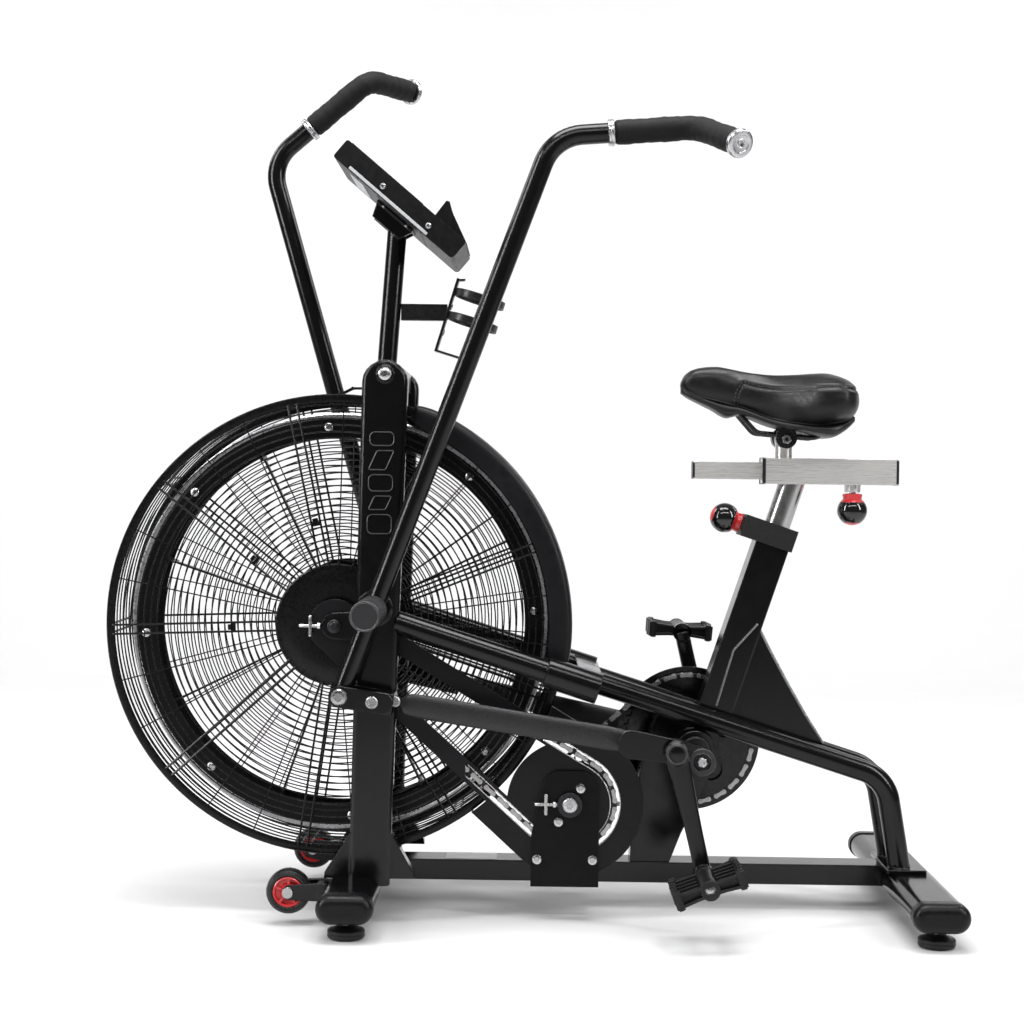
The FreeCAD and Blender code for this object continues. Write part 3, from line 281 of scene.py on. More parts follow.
M["cage_strap"] = make_mat("bottle_cage_black", (0.005, 0.005, 0.0055), 0.34, spec=0.35, var=0.3, vscale=80,
                           bumps=[("noise", 1000, 0.15, 0.0004)], edge=(0.04, 0.04, 0.042), edge_wear_and_highlight_amt=0.5)
M["leather"] = make_mat("saddle_leather", (0.0048, 0.0047, 0.0048), 0.36, var=0.3, vscale=70, spec=0.28, sheen=0.0,
                        bumps=[("cells", 420, 0.22, 0.0008), ("noise", 170, 0.12, 0.0010)], second=(0.011, 0.0107, 0.011), second_amt=0.5, bevel=0.0)
M["leather_seam"] = make_mat("saddle_seam", (0.012, 0.012, 0.012), 0.5, var=0.3, vscale=200,
                             bumps=[("noise", 900, 0.3, 0.0004)], bevel=0.0)
M["stitch"] = make_mat("saddle_stitch", (0.075, 0.075, 0.075), 0.6, var=0.2, vscale=600,
                       bumps=[("wave", 900, 0.4, 0.0002)], bevel=0.0)
M["pan_plastic"] = make_mat("saddle_pan", (0.007, 0.007, 0.0075), 0.4, spec=0.35, var=0.25, vscale=90,
                            bumps=[("noise", 1200, 0.2, 0.0004)], edge=(0.04, 0.04, 0.042), edge_wear_and_highlight_amt=0.4)
M["rail_steel"] = make_mat("rail_black", (0.005, 0.005, 0.0055), 0.26, spec=0.4, var=0.3, vscale=90,
                           bumps=[("noise", 900, 0.1, 0.0003)], edge=(0.25, 0.25, 0.25), edge_wear_and_highlight_amt=0.5)
M["label_white"] = make_mat("label_blank", (0.66, 0.66, 0.65), 0.42, var=0.05, vscale=120,
                            bumps=[("noise", 900, 0.08, 0.0002)], bevel=0.0)
M["emboss"] = make_mat("emboss_edge", (0.022, 0.022, 0.024), 0.34, spec=0.4, var=0.2, vscale=120,
                       bumps=[("noise", 900, 0.15, 0.0003)], bevel=0.0)
# light grey standing in for the glints on the black-painted weld beads: painted highlight
M["weld"] = make_mat("weld_painted", (0.16, 0.16, 0.165), 0.24, metal=0.5, spec=0.5, var=0.3, vscale=200,
                     bumps=[("noise", 500, 0.5, 0.0008)], bevel=0.0)
M["wheel"] = M["tyre"]

for nm, ob in NODES.items():
    slot = ob.data.materials[0].name.split(".")[0] if ob.data.materials else "frame_paint"
    mat = M.get(slot, M["frame_paint"])
    if nm in ("jackshaft_bracket",):
        mat = M["plate_black"]
    if nm in ("crank_axle", "bearings", "fan_axle", "jackshaft"):
        mat = M["dark_steel"]
    ob.data.materials[0] = mat


# ------------------------------------------------------------------ mesh tools
class Geo:
    def __init__(s):
        s.v, s.f, s.m = [], [], []

    def add(s, vs, fs, mi=0):
        b = len(s.v)
        s.v.extend(Vector(p) for p in vs)
        s.f.extend(tuple(i + b for i in f) for f in fs)
        s.m.extend([mi] * len(fs))
        return s

    def tube(s, pts, r, seg=8, closed=False, caps=True, mi=0, up=None, flat=None):
        pts = [Vector(p) for p in pts]
        n = len(pts)
        rs = r if isinstance(r, (list, tuple)) else [r] * n
        tang = []
        for i in range(n):
            if closed:
                t = pts[(i + 1) % n] - pts[i - 1]
            else:
                t = pts[min(i + 1, n - 1)] - pts[max(i - 1, 0)]
            tang.append(t.normalized())
        u = Vector(up) if up is not None else (Vector((0, 1, 0)) if abs(tang[0].y) < 0.9 else Vector((1, 0, 0)))
        vs, fs = [], []
        for i in range(n):
            t = tang[i]
            u = (u - t * u.dot(t))
            if u.length < 1e-6:
                u = t.orthogonal()
            u.normalize()
            w = t.cross(u)
            for k in range(seg):
                a = 2 * math.pi * k / seg
                fu, fw = (1, 1) if flat is None else flat
                vs.append(pts[i] + u * (math.cos(a) * rs[i] * fu) + w * (math.sin(a) * rs[i] * fw))
        m = n if closed else n - 1
        for i in range(m):
            j = (i + 1) % n
            for k in range(seg):
                l = (k + 1) % seg
                fs.append((i * seg + k, i * seg + l, j * seg + l, j * seg + k))
        if caps and not closed:
            fs.append(tuple(range(seg - 1, -1, -1)))
            fs.append(tuple((n - 1) * seg + k for k in range(seg)))
        return s.add(vs, fs, mi)

    def lathe(s, org, axis, prof, seg=40, mi=0, mis=None, ref=None):
        """prof: (radius, distance along axis)."""
        org, a = Vector(org), Vector(axis).normalized()
        u = Vector(ref).normalized() if ref is not None else a.orthogonal().normalized()
        w = a.cross(u)
        vs, idx = [], []
        for r, t in prof:
            c = org + a * t
            if r < 1e-6:
                idx.append([len(vs)] * seg)
                vs.append(c)
            else:
                row = []
                for k in range(seg):
                    q = 2 * math.pi * k / seg
                    row.append(len(vs))
                    vs.append(c + u * (math.cos(q) * r) + w * (math.sin(q) * r))
                idx.append(row)
        for i in range(len(prof) - 1):
            fs = []
            for k in range(seg):
                l = (k + 1) % seg
                f = [idx[i][k], idx[i][l], idx[i + 1][l], idx[i + 1][k]]
                g = []
                for q in f:
                    if q not in g:
                        g.append(q)
                if len(g) > 2:
                    fs.append(tuple(g))
            b = len(s.v)
            s.f.extend(tuple(q + b for q in f) for f in fs)
            s.m.extend([mis[i] if mis else mi] * len(fs))
        s.v.extend(vs)
        return s

    def prism(s, pts, y0, y1, mi=0, fn=None):
        n = len(pts)
        vs = [(x, y0, z) for x, z in pts] + [(x, y1, z) for x, z in pts]
        if fn:
            vs = [fn(p) for p in vs]
        fs = [tuple(range(n)), tuple(range(2 * n - 1, n - 1, -1))]
        for i in range(n):
            j = (i + 1) % n
            fs.append((i, j, n + j, n + i))
        return s.add(vs, fs, mi)

    def block(s, c, size, rot=None, mi=0):
        hx, hy, hz = [q / 2.0 for q in size]
        vs = [Vector((x, y, z)) for x in (-hx, hx) for y in (-hy, hy) for z in (-hz, hz)]
        if rot is not None:
            vs = [rot @ v for v in vs]
        vs = [v + Vector(c) for v in vs]
        fs = [(0, 1, 3, 2), (4, 6, 7, 5), (0, 4, 5, 1), (2, 3, 7, 6), (0, 2, 6, 4), (1, 5, 7, 3)]
        return s.add(vs, fs, mi)

    def loft(s, rings, mi=0, caps=True):
        n = len(rings[0])
        vs = [p for r in rings for p in r]
        fs = []
        for i in range(len(rings) - 1):
            for k in range(n):
                l = (k + 1) % n
                fs.append((i * n + k, i * n + l, (i + 1) * n + l, (i + 1) * n + k))
        if caps:
            fs.append(tuple(range(n - 1, -1, -1)))
            fs.append(tuple((len(rings) - 1) * n + k for k in range(n)))
        return s.add(vs, fs, mi)

    def mirrored(s):
        g = Geo()
        g.v = [Vector((v.x, -v.y, v.z)) for v in s.v]
        g.f = [tuple(reversed(f)) for f in s.f]
        g.m = list(s.m)
        return g

    def rot_y(s, x, z, deg, start=0):
        """Turn the geometry added since start about a line along Y (positive tips +Z towards +X)."""
        a = math.radians(deg)
        c, q = math.cos(a), math.sin(a)
        for i in range(start, len(s.v)):
            dx, dz = s.v[i].x - x, s.v[i].z - z
            s.v[i] = Vector((x + dx * c + dz * q, s.v[i].y, z - dx * q + dz * c))
        return s

    def obj(s, name, mats, body, replaces=(), slot=None, bevel=0.0, seg=2, sharp=35, sub=0):
        me = bpy.data.meshes.new(name)
        me.from_pydata([W(v) for v in s.v], [], s.f)
        mats = mats if isinstance(mats, (list, tuple)) else [mats]
        for m in mats:
            me.materials.append(M[m])
        me.polygons.foreach_set("material_index", s.m)
        bm = bmesh.new()
        bm.from_mesh(me)
        bmesh.ops.recalc_face_normals(bm, faces=bm.faces)
        bm.to_mesh(me)
        bm.free()
        me.polygons.foreach_set("use_smooth", [True] * len(me.polygons))
        me.set_sharp_from_angle(angle=math.radians(sharp))
        ob = bpy.data.objects.new(name, me)
        scene.collection.objects.link(ob)
        if bevel > 0:
            b = ob.modifiers.new("bevel", "BEVEL")
            b.width = bevel / 1000.0
            b.segments = seg
            b.limit_method = "ANGLE"
            b.angle_limit = math.radians(40)
            b.harden_normals = True
        if sub:
            q = ob.modifiers.new("sub", "SUBSURF")
            q.levels = q.render_levels = sub
        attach(ob, body)
        if replaces:
            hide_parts(*([replaces] if isinstance(replaces, str) else replaces))
        return ob


def polar(r, deg, y=0.0, cx=None, cz=None):
    a = math.radians(deg)
    return Vector(((FAN_X if cx is None else cx) + r * math.cos(a), y, (FAN_Z if cz is None else cz) + r * math.sin(a)))


def circle(cx, cz, r, y, n=96):
    return [(cx + r * math.cos(2 * math.pi * k / n), y, cz + r * math.sin(2 * math.pi * k / n)) for k in range(n)]


def catmull(pts, n=8):
    out = []
    for i in range(len(pts) - 1):
        p0 = pts[max(i - 1, 0)]
        p1, p2 = pts[i], pts[i + 1]
        p3 = pts[min(i + 2, len(pts) - 1)]
        for k in range(n):
            t = k / n
            out.append([0.5 * ((2 * b) + (-a + c) * t + (2 * a - 5 * b + 4 * c - d) * t * t + (-a + 3 * b - 3 * c + d) * t ** 3)
                        for a, b, c, d in zip(p0, p1, p2, p3)])
    out.append(list(pts[-1]))
    return out


def rounded(pts, rads, n=7):
    """Polyline with its corners rounded."""
    pts = [Vector(p) for p in pts]
    out = [pts[0]]
    for i in range(1, len(pts) - 1):
        b = pts[i]
        u, w = (pts[i - 1] - b), (pts[i + 1] - b)
        r = rads[i - 1] if isinstance(rads, (list, tuple)) else rads
        u.normalize()
        w.normalize()
        t = r / math.tan(u.angle(w) / 2)
        p1, p2 = b + u * t, b + w * t
        for k in range(n + 1):
            q = k / n
            out.append(p1 * (1 - q) ** 2 + b * 2 * q * (1 - q) + p2 * q * q)
    out.append(pts[-1])
    return out


def hull2d(x1, z1, r1, x2, z2, r2, n=14):
    d = math.hypot(x2 - x1, z2 - z1)
    b = math.atan2(z2 - z1, x2 - x1)
    a = math.acos((r1 - r2) / d)
    out = []
    for k in range(n + 1):
        t = b - a + 2 * a * k / n
        out.append((x2 + r2 * math.cos(t), z2 + r2 * math.sin(t)))
    m = max(n, int(n * r1 / r2 / 1.5))
    for k in range(m + 1):
        t = b + a + (2 * math.pi - 2 * a) * k / m
        out.append((x1 + r1 * math.cos(t), z1 + r1 * math.sin(t)))
    return out


def rrect(w, h, r, n=5):
    """Rounded rectangle, centred, as (a, b) points."""
    out = []
    for cx, cy, a0 in ((w / 2 - r, h / 2 - r, 0), (-w / 2 + r, h / 2 - r, 90), (-w / 2 + r, -h / 2 + r, 180), (w / 2 - r, -h / 2 + r, 270)):
        for k in range(n + 1):
            t = math.radians(a0 + 90 * k / n)
            out.append((cx + r * math.cos(t), cy + r * math.sin(t)))
    return out


SIDES = ((-1, "left"), (1, "right"))
RY = 30.0
Y = Vector((0, 1, 0))

# --------------------------------------------------------------------- camera
cam_d = bpy.data.cameras.new("cam")
cam = bpy.data.objects.new("cam", cam_d)
scene.collection.objects.link(cam)
yaw, pit, rol = math.radians(-0.577), math.radians(-1.090), math.radians(-0.731)
r0 = Vector((math.cos(yaw), -math.sin(yaw), 0))
fwd = Vector((math.sin(yaw) * math.cos(pit), math.cos(yaw) * math.cos(pit), math.sin(pit)))
u0 = Vector((-math.sin(yaw) * math.sin(pit), -math.cos(yaw) * math.sin(pit), math.cos(pit)))
right = r0 * math.cos(rol) - u0 * math.sin(rol)
upv = r0 * math.sin(rol) + u0 * math.cos(rol)
mtx = Matrix((right, upv, -fwd)).transposed().to_4x4()
mtx.translation = W((22.4, -2701.5, 631.3))
cam.matrix_world = mtx
cam_d.lens = 64.18
cam_d.sensor_width = 36.0
cam_d.dof.use_dof = False
cam_d.clip_start, cam_d.clip_end = 0.05, 60.0
scene.camera = cam

# ------------------------------------------------------------ floor and lights
prof = [(-6.0, -0.0006), (2.6, -0.0006)]
for k in range(1, 13):
    a = math.radians(90 * k / 12)
    prof.append((2.6 + 1.6 * math.sin(a), 1.6 - 1.6 * math.cos(a)))
prof.append((4.2, 6.0))
vs, fs = [], []
for x in (-9.0, 9.0):
    vs += [(x, y, z) for y, z in prof]
n = len(prof)
for i in range(n - 1):
    fs.append((i, i + 1, n + i + 1, n + i))
me = bpy.data.meshes.new("floor")
me.from_pydata(vs, [], fs)
me.polygons.foreach_set("use_smooth", [True] * len(me.polygons))
floor = bpy.data.objects.new("floor", me)
scene.collection.objects.link(floor)
fm = make_mat("studio_floor", (0.64, 0.64, 0.645), 0.55, var=0.01, vscale=3, bevel=0.0)
me.materials.append(fm)

world = bpy.data.worlds.new("studio")
scene.world = world
world.use_nodes = True
bg = world.node_tree.nodes["Background"]
bg.inputs[0].default_value = (1.0, 1.0, 1.0, 1)
bg.inputs[1].default_value = 0.11


def area(name, loc, target, sx, sy, power, col=(1, 1, 1)):
    d = bpy.data.lights.new(name, "AREA")
    d.shape = "RECTANGLE"
    d.size, d.size_y = sx, sy
    d.energy = power
    d.color = col
    o = bpy.data.objects.new(name, d)
    scene.collection.objects.link(o)
    o.location = loc
    o.rotation_mode = "QUATERNION"
    o.rotation_quaternion = (Vector(target) - Vector(loc)).to_track_quat("-Z", "Y")
    return o


area("top", (0.0, -0.3, 3.2), (0, 0.1, 0.5), 2.4, 1.2, 118)
area("left_strip", (-2.7, -1.2, 1.8), (0, 0, 0.6), 0.30, 2.6, 80)
area("right_strip", (2.6, -1.5, 2.0), (0, 0, 0.6), 0.30, 2.4, 58)
area("front", (0.0, -2.4, 2.7), (0, 0, 0.55), 3.6, 0.16, 42)
area("back_wall_l", (-2.6, 1.6, 2.8), (-0.6, 4.2, 1.0), 2.0, 1.4, 75)
area("back_wall_r", (2.6, 1.6, 2.8), (0.6, 4.2, 1.0), 2.0, 1.4, 75)
scene.view_settings.view_transform = "Standard"
scene.view_settings.look = "None"
scene.view_settings.exposure = 0.0

# ------------------------------------------------------------------- fan cage
RIB0, RIBS = 22.0, 9


def cage_side(y):
    g = Geo()
    s = -1 if y < 0 else 1
    yy = y
    for k in range(24):
        r = 93.0 + k * (316.0 - 93.0) / 23
        g.tube(circle(FAN_X, FAN_Z, r, yy, 150), 1.05, 5, closed=True)
    for k in range(RIBS):
        for j in (1, 2):
            a = RIB0 + 40.0 * k + j * 13.33
            g.tube([polar(80, a, yy + s * 1.6), polar(200, a, yy + s * 1.6), polar(322, a, yy + s * 1.2)], 1.0, 5)
    # outer rim
    g.lathe((FAN_X, y, FAN_Z), Y, [(319.5, -1.6), (318.5, 0.0), (319.5, 1.6), (325, 2.8), (329.5, 2.0), (331, 0.0), (329.5, -2.0), (325, -2.8), (319.5, -1.6)], 200)
    # hub disc
    hole = 34.0 if s < 0 else 12.5
    g.lathe((FAN_X, y, FAN_Z), Y * s, [(hole, 1.0), (hole + 1, 2.2), (60, 3.2), (76, 2.4), (80, 1.0), (86, 1.0), (88, -0.4), (87, -1.6), (60, -0.6), (hole, -0.6), (hole, 1.0)], 72)
    for k in ((2, 3, 4) if s < 0 else ()):
        a = RIB0 + 40.0 * k
        c = polar(147, a, yy + s * 2.4)
        t = Vector((math.sin(math.radians(a)), 0, -math.cos(math.radians(a))))
        rmat = Matrix.Rotation(-math.radians(a), 3, "Y")
        g.block(c, (5.0, 3.2, 13), rmat)
        g.block(c + Vector((math.cos(math.radians(a)), 0, math.sin(math.radians(a)))) * 6.5, (4.5, 2.6, 8), rmat)
    return g


cage_side(-86.0).obj("left_cage_wires", "cage_wire", "root", "left_fan_grille", "cage_wire")
cage_side(86.0).obj("right_cage_wires", "cage_wire", "root", "right_fan_grille", "cage_wire")

g = Geo()
for y in (-70, -50, -30, -10, 10, 30, 50, 70):
    g.tube(circle(FAN_X, FAN_Z, 328.5, y, 180), 1.15, 6, closed=True)
for k in range(RIBS):
    a = RIB0 + 40.0 * k
    d = Vector((math.cos(math.radians(a)), 0, math.sin(math.radians(a))))
    t = Vector((-d.z, 0, d.x))
    for off in (-6.5, 6.5):
        c = Vector((FAN_X, 0, FAN_Z)) + t * off
        line = [c + d * 84 - Y * 87.4, c + d * 322 - Y * 87.4, c + d * 329.0 - Y * 80, c + d * 329.0 + Y * 80, c + d * 322 + Y * 87.4, c + d * 84 + Y * 87.4]
        pts = rounded(line, [5, 4, 4, 5], 3)
        g.tube(pts, 1.75, 6)
# wire bracket over the top of the cage
for off in (-9, 9):
    g.tube(rounded([(-262, -60 + off, 744), (-236, -60 + off, 757), (-214, -60 + off, 757), (-206, -100, 752)], [8, 6], 4), 1.6, 6)
g.tube([(-236, -72, 757), (-236, -48, 757)], 2.2, 6)
g.obj("cage_hoop_wires", "cage_wire", "root", "cage_hoops", "cage_wire")

# rotor: light-grey ring round the rim, a painted reflection of the top light on the black rim, and pan-head screws
g = Geo()
for s in (-1, 1):
    g.lathe((FAN_X, s * (RY - 2.0), FAN_Z), Y * s, [(298.0, -3.0), (298.0, 1.4), (299.5, 2.6), (303.5, 2.8), (305.6, 1.2), (305.6, -3.0), (298.0, -3.0)], 180)
g.obj("rotor_edge_ring", "trim_alu", "fan", slot="bright_trim")
g = Geo()
for k in range(8):
    for s in (-1, 1):
        c = polar(285, 45 * k + 4, s * (RY + 3.0))
        g.lathe(c, Y * s, [(5.9, -0.6), (6.6, 0.2), (6.2, 1.8), (4.6, 3.1), (2.6, 3.5), (2.6, 1.6), (0, 1.6)], 20)
g.obj("rotor_screws", "bright_trim", "fan", slot="bright_trim")
g = Geo()
for k in range(8):
    a = 45 * k + 26.5
    d = Vector((math.cos(math.radians(a)), 0, math.sin(math.radians(a))))
    for s in (-1, 1):
        g.tube([Vector((FAN_X, s * 5.5, FAN_Z)) + d * 66, Vector((FAN_X, s * 5.5, FAN_Z)) + d * 266], 1.6, 6)
for s in (-1, 1):
    for rr in (271.5, 297.2):
        g.tube(circle(FAN_X, FAN_Z, rr, s * (RY - 1.4), 180), 1.3, 6, closed=True)
g.obj("rotor_edges", "fan_wheel", "fan", slot="fan_wheel")

# ----------------------------------------------------------------- wind guard
g = Geo()
secn = []
A0, A1 = -11.6, 71.6
for i in range(49):
    f = i / 48.0
    a = A0 + (A1 - A0) * f
    e = min(1.0, min(f, 1 - f) * 14.0)
    e = e * (2 - e)
    ri = 303.0 + 14 * (1 - e)
    ro = 334.5 + 5.0 * e
    base = [(ri, -92.3), (326, -92.9), (333, -91.6), (ro - 1.8, -87), (ro, -78), (ro + 0.0, 0), (ro, 78), (ro - 1.8, 87), (333, 91.6), (326, 92.9), (ri, 92.3),
            (ri, 90.2), (325, 90.4), (332, 86), (ro - 3.6, 76), (ro - 3.6, 0), (ro - 3.6, -76), (332, -86), (325, -90.4), (ri, -90.2)]
    secn.append([polar(r, a, y) for r, y in base])
g.loft(secn)
wgob = g.obj("wind_guard_shell", "guard_paint", "root", "wind_guard", "guard_paint", sharp=50, sub=1)

# ---------------------------------------------------------- rounded uprights


def up_edge(z, side):
    f = (z - 64.0) / (768.0 - 64.0)
    return -199.0 + 14.5 * f + side * (58.0 + 7.0 * f) / 2


def upright(s):
    g = Geo()
    rings = []
    for z in [52, 58, 90, 150, 250, 350, 450, 550, 650, 720, 752, 764, 773, 781, 787, 791.5, 794]:
        zz = min(z, 768)
        c = (up_edge(zz, 1) + up_edge(zz, -1)) / 2
        w = up_edge(zz, 1) - up_edge(zz, -1)
        shrink = 0.0
        if z > 764:
            t = (z - 764) / 30.0
            shrink = 33 * (1 - math.sqrt(max(0.0, 1 - t * t)))
        ww = max(18.0, w - 2 * shrink)
        dy = 30.0 - (2.5 if z > 793 else 0.0)
        rr = rrect(ww, dy, min(8.5, ww / 2 - 0.5), 6)
        rings.append([(c + a, s * 123.0 + b, z) for a, b in rr])
    g.loft(rings)
    g.prism(hull2d(FAN_X, FAN_Z, 19, -190, FAN_Z, 22), s * 108.5, s * 112.0)
    g.lathe((-194.6, s * 137.5, 444.9), Y * s, [(24, -1), (24, 1.6), (22.5, 3.2), (10.0, 3.3), (10.0, 20)], 48)
    # boxed foot gussets, front and rear
    for side in (-1, 1):
        e0, e1 = up_edge(66, side) - side * 3, up_edge(150, side) - side * 3
        pts = [(e0, 62), (e0 + side * 38, 62), (e0 + side * 37, 70), (e1 + side * 4, 124), (e1, 128)]
        g.prism(pts, s * 112.0, s * 134.0)
    g.lathe((-184, s * 138, 774), Y * s, [(12.5, 0.0), (12.5, 1.2), (11.5, 2.0), (0, 2.0)], 32)
    return g


for s, side in SIDES:
    upright(s).obj("upright_" + side, "frame_paint", "root", side + "_upright", "frame_paint", sharp=30)

# generic outlined shapes standing proud on both outer faces
for s, side in SIDES:
    g = Geo()
    z = 548.0
    kinds = [(0, 30), (1, 22), (0, 26), (1, 30), (0, 22)]
    for kind, h in kinds:
        zc = z + h / 2.0
        c = -190.0 + (zc - 548) * 0.02
        if kind == 0:
            out = [(c + a, zc + b) for a, b in rrect(34, h - 3, 7.0, 5)]
        else:
            out = [(c + a + b * 0.45, zc + b) for a, b in rrect(24, h - 3, 2.5, 3)]
        g.tube([(x, s * 138.2, zz) for x, zz in out], 0.95, 6, closed=True)
        z += h + 4
    g.obj("upright_relief_" + side, "emboss", "root", slot="frame_paint")

# upright head bolts, round the chrome bolt heads
HEX = [(8.6, -0.5), (8.6, 4.6), (7.6, 5.4), (4.2, 5.4), (4.2, 2.5), (0, 2.5)]
g = Geo()
for s in (-1, 1):
    g.lathe((-184, s * 139.5, 774), Y * s, [(9.6, 0.0), (9.9, 2.0), (8.8, 4.6), (6.0, 6.2), (4.0, 6.5), (4.0, 3.4), (0, 3.4)], 32)
for x, z in ((38, 88), (117, 88), (99, 190), (68, 142)):
    g.lathe((x, -112.2, z), -Y, [(7.0, 0.0), (7.2, 1.6), (6.2, 3.4), (3.6, 4.0), (3.4, 2.0), (0, 2.0)], 24)
g.obj("head_bolts", "bright_trim", "root", slot="fastener")

# ------------------------------------------------------------------ foot pegs
for s, side in SIDES:
    g = Geo()
    pr = [(18.2, 184.2), (20.0, 184.2), (20.6, 185.4), (20.6, 191), (20.0, 192)]
    t = 193.0
    while t < 284:
        pr += [(20.5, t), (20.5, t + 2.6), (19.7, t + 3.2), (19.7, t + 4.2)]
        t += 4.8
    pr += [(20.4, 286), (20.6, 287), (20.6, 291.2), (19.6, 292.2)]
    g.lathe((-194.6, 0, 444.9), Y * s, pr, 56)
    g.lathe((-194.6, 0, 444.9), Y * s, [(19.6, 292.2), (20.6, 293.4), (20.7, 298.0), (19.8, 299.6), (18.2, 300.0), (17.6, 299.3), (0, 299.3)], 56, mi=1)
    g.lathe((-194.6, 0, 444.9), Y * s, [(20.9, 188.0), (21.0, 189.6), (20.9, 190.6)], 56, mi=1)
    g.obj("peg_" + side, ["peg_metal", "peg_cap"], side + "_arm", side + "_foot_peg", "peg_metal", sharp=25)

# ---------------------------------------------------------------------- grips
PX, PZ = -194.6, 444.9
GX, GZ = PX + 77, PZ + 737
LEAN = {-1: 20.2, 1: -16.2}
g_line = [(GX, -164.0, GZ), (GX + 105, -164.0, GZ + 105 * 35.0 / 77.0), (GX + 161, -244.0, GZ + 31)]


def place(g, s, start=0):
    g.rot_y(PX, PZ, LEAN[s], start)
    return g if s < 0 else g.mirrored()


for s, side in SIDES:
    g = Geo()
    pts = rounded(g_line, [38], 14)
    fine = []
    for i in range(len(pts) - 1):
        d = (pts[i + 1] - pts[i]).length
        k = max(1, int(d / 3.0))
        for j in range(k):
            fine.append(pts[i].lerp(pts[i + 1], j / k))
    fine.append(pts[-1])
    L = [0.0]
    for i in range(1, len(fine)):
        L.append(L[-1] + (fine[i] - fine[i - 1]).length)
    tot = L[-1]
    rs = []
    for l in L:
        e = min(l, tot - l)
        r = 17.0 - 3.2 * math.exp(-e / 2.2) + 0.35 * math.sin(l * 0.11) + 0.25 * math.sin(l * 0.37 + 1.0)
        rs.append(r)
    g.tube(fine, rs, 28)
    place(g, s)
    if s > 0:
        g = place(Geo().tube(fine, rs, 28), s)
    ob = g.obj("grip_" + side, "grip_foam", side + "_arm", side + "_grip", "grip_foam", sharp=60)
    for v in ob.data.vertices:
        c = v.co
        q = math.sin(c.x * 410 + c.z * 330) * math.sin(c.y * 390 + c.z * 270) * math.sin(c.x * 240 - c.y * 310)
        v.co = c + v.normal * (0.00035 * q)
    g = Geo()
    d = Vector((77, 0, 35)).normalized()
    p0 = Vector((GX, -164.0, GZ))
    g.lathe(p0, d, [(14.2, -9.0), (17.0, -9.0), (18.4, -7.8), (18.7, -6.0), (18.0, -5.2), (18.7, -4.4), (18.7, -1.6), (17.6, -0.2), (14.5, -0.2)], 48)
    e = Vector(g_line[2])
    ed = (e - Vector(g_line[1])).normalized()
    g.lathe(e, ed, [(15.0, 0.0), (19.0, 0.2), (20.0, 1.4), (20.1, 6.2), (18.6, 8.4), (15.5, 9.2), (12.4, 8.7), (11.4, 7.7), (6.4, 7.4), (5.4, 8.2), (4.2, 7.9), (4.0, 4.5), (0, 4.5)], 48)
    g = place(g, s)
    g.obj("grip_trim_" + side, "bright_trim", side + "_arm", side + "_grip_trim", "bright_trim", sharp=28)

# lower bosses on the arms
for s, side in SIDES:
    g = Geo()
    g.lathe((PX, -150.0, PZ - 128), Y, [(15.4, -1.0), (15.6, 2), (15.6, -26), (15.4, -28)], 36)
    g.lathe((PX, -187.0, PZ - 128), -Y, [(10.8, 3.4), (11.2, 5.6), (9.6, 7.6), (5.6, 8.2), (5.4, 5.4), (0, 5.4)], 32, mi=1)
    g = place(g, s)
    g.obj("arm_boss_" + side, ["frame_paint", "fastener"], side + "_arm", slot="frame_paint")

# ------------------------------------------------------------------- link bars
AL, AR, PL, PR = (-238.80, 324.77), (-158.89, 321.98), (228.91, 252.98), (303.09, 223.02)
LB = {}
for s, side, A, P_ in ((-1, "left", AL, PL), (1, "right", AR, PR)):
    ang = math.degrees(math.atan2(P_[1] - A[1], P_[0] - A[0]))
    angL = math.atan2(PL[1] - AL[1], PL[0] - AL[0])
    reach = (172.0 - AL[0]) / math.cos(angL)
    g = Geo()
    ax, az = A
    # the bar as a tube with an oval section, tapering at its ends
    rings = []
    for t, h, w in ((84, 8, 7), (90, 27, 10), (98, 32, 12), (120, 34, 12), (reach - 40, 34, 12), (reach - 20, 32, 11.6), (reach - 6, 24, 9.6), (reach, 10, 7)):
        e_ = w / 2.0
        rings.append([(ax + t, -147.0 + e_ * math.cos(q * math.pi / 14), az + h / 2.0 * math.copysign(abs(math.sin(q * math.pi / 14)) ** 0.85, math.sin(q * math.pi / 14))) for q in range(28)])
    g.loft(rings)
    st = len(g.v)
    # fork plates and spacer
    g.prism(hull2d(ax, az, 15, ax + 60, az, 15), -149, -141, mi=1)
    g.prism(hull2d(ax, az, 15, ax + 60, az, 15), -187, -179, mi=1)
    g.block((ax + 62, -164, az), (26, 44, 31), mi=1)
    g.lathe((ax, -187.0, az), -Y, [(11.0, 0), (11.0, 1.2), (9.0, 1.4), (8.8, 4.2), (7.4, 5.0), (4.0, 5.0), (4.0, 2.6), (0, 2.6)], 32, mi=2)
    g.lathe((ax + 46, -187.0, az), -Y, [(8.6, 0), (8.6, 3), (7.2, 4.2), (4.0, 4.2), (4.0, 2.0), (0, 2.0)], 28, mi=2)
    g.lathe((ax + 76, -153.0, az + 2), -Y, [(7.4, -2), (7.4, 2.4), (6.2, 3.4), (3.4, 3.4), (3.4, 1.6), (0, 1.6)], 28, mi=2)
    g.lathe((ax, -192, az), Y, [(6, 0), (6, 50)], 20, mi=2)
    g.rot_y(ax, az, -ang)
    if s > 0:
        g = g.mirrored()
    g.obj("link_bar_" + side, ["link_paint", "frame_paint", "fastener"], side + "_link", side + "_link", "link_paint", bevel=0.9, sharp=32)

# --------------------------------------------------------------------- cranks
CX, CZ = 266.0, 238.0


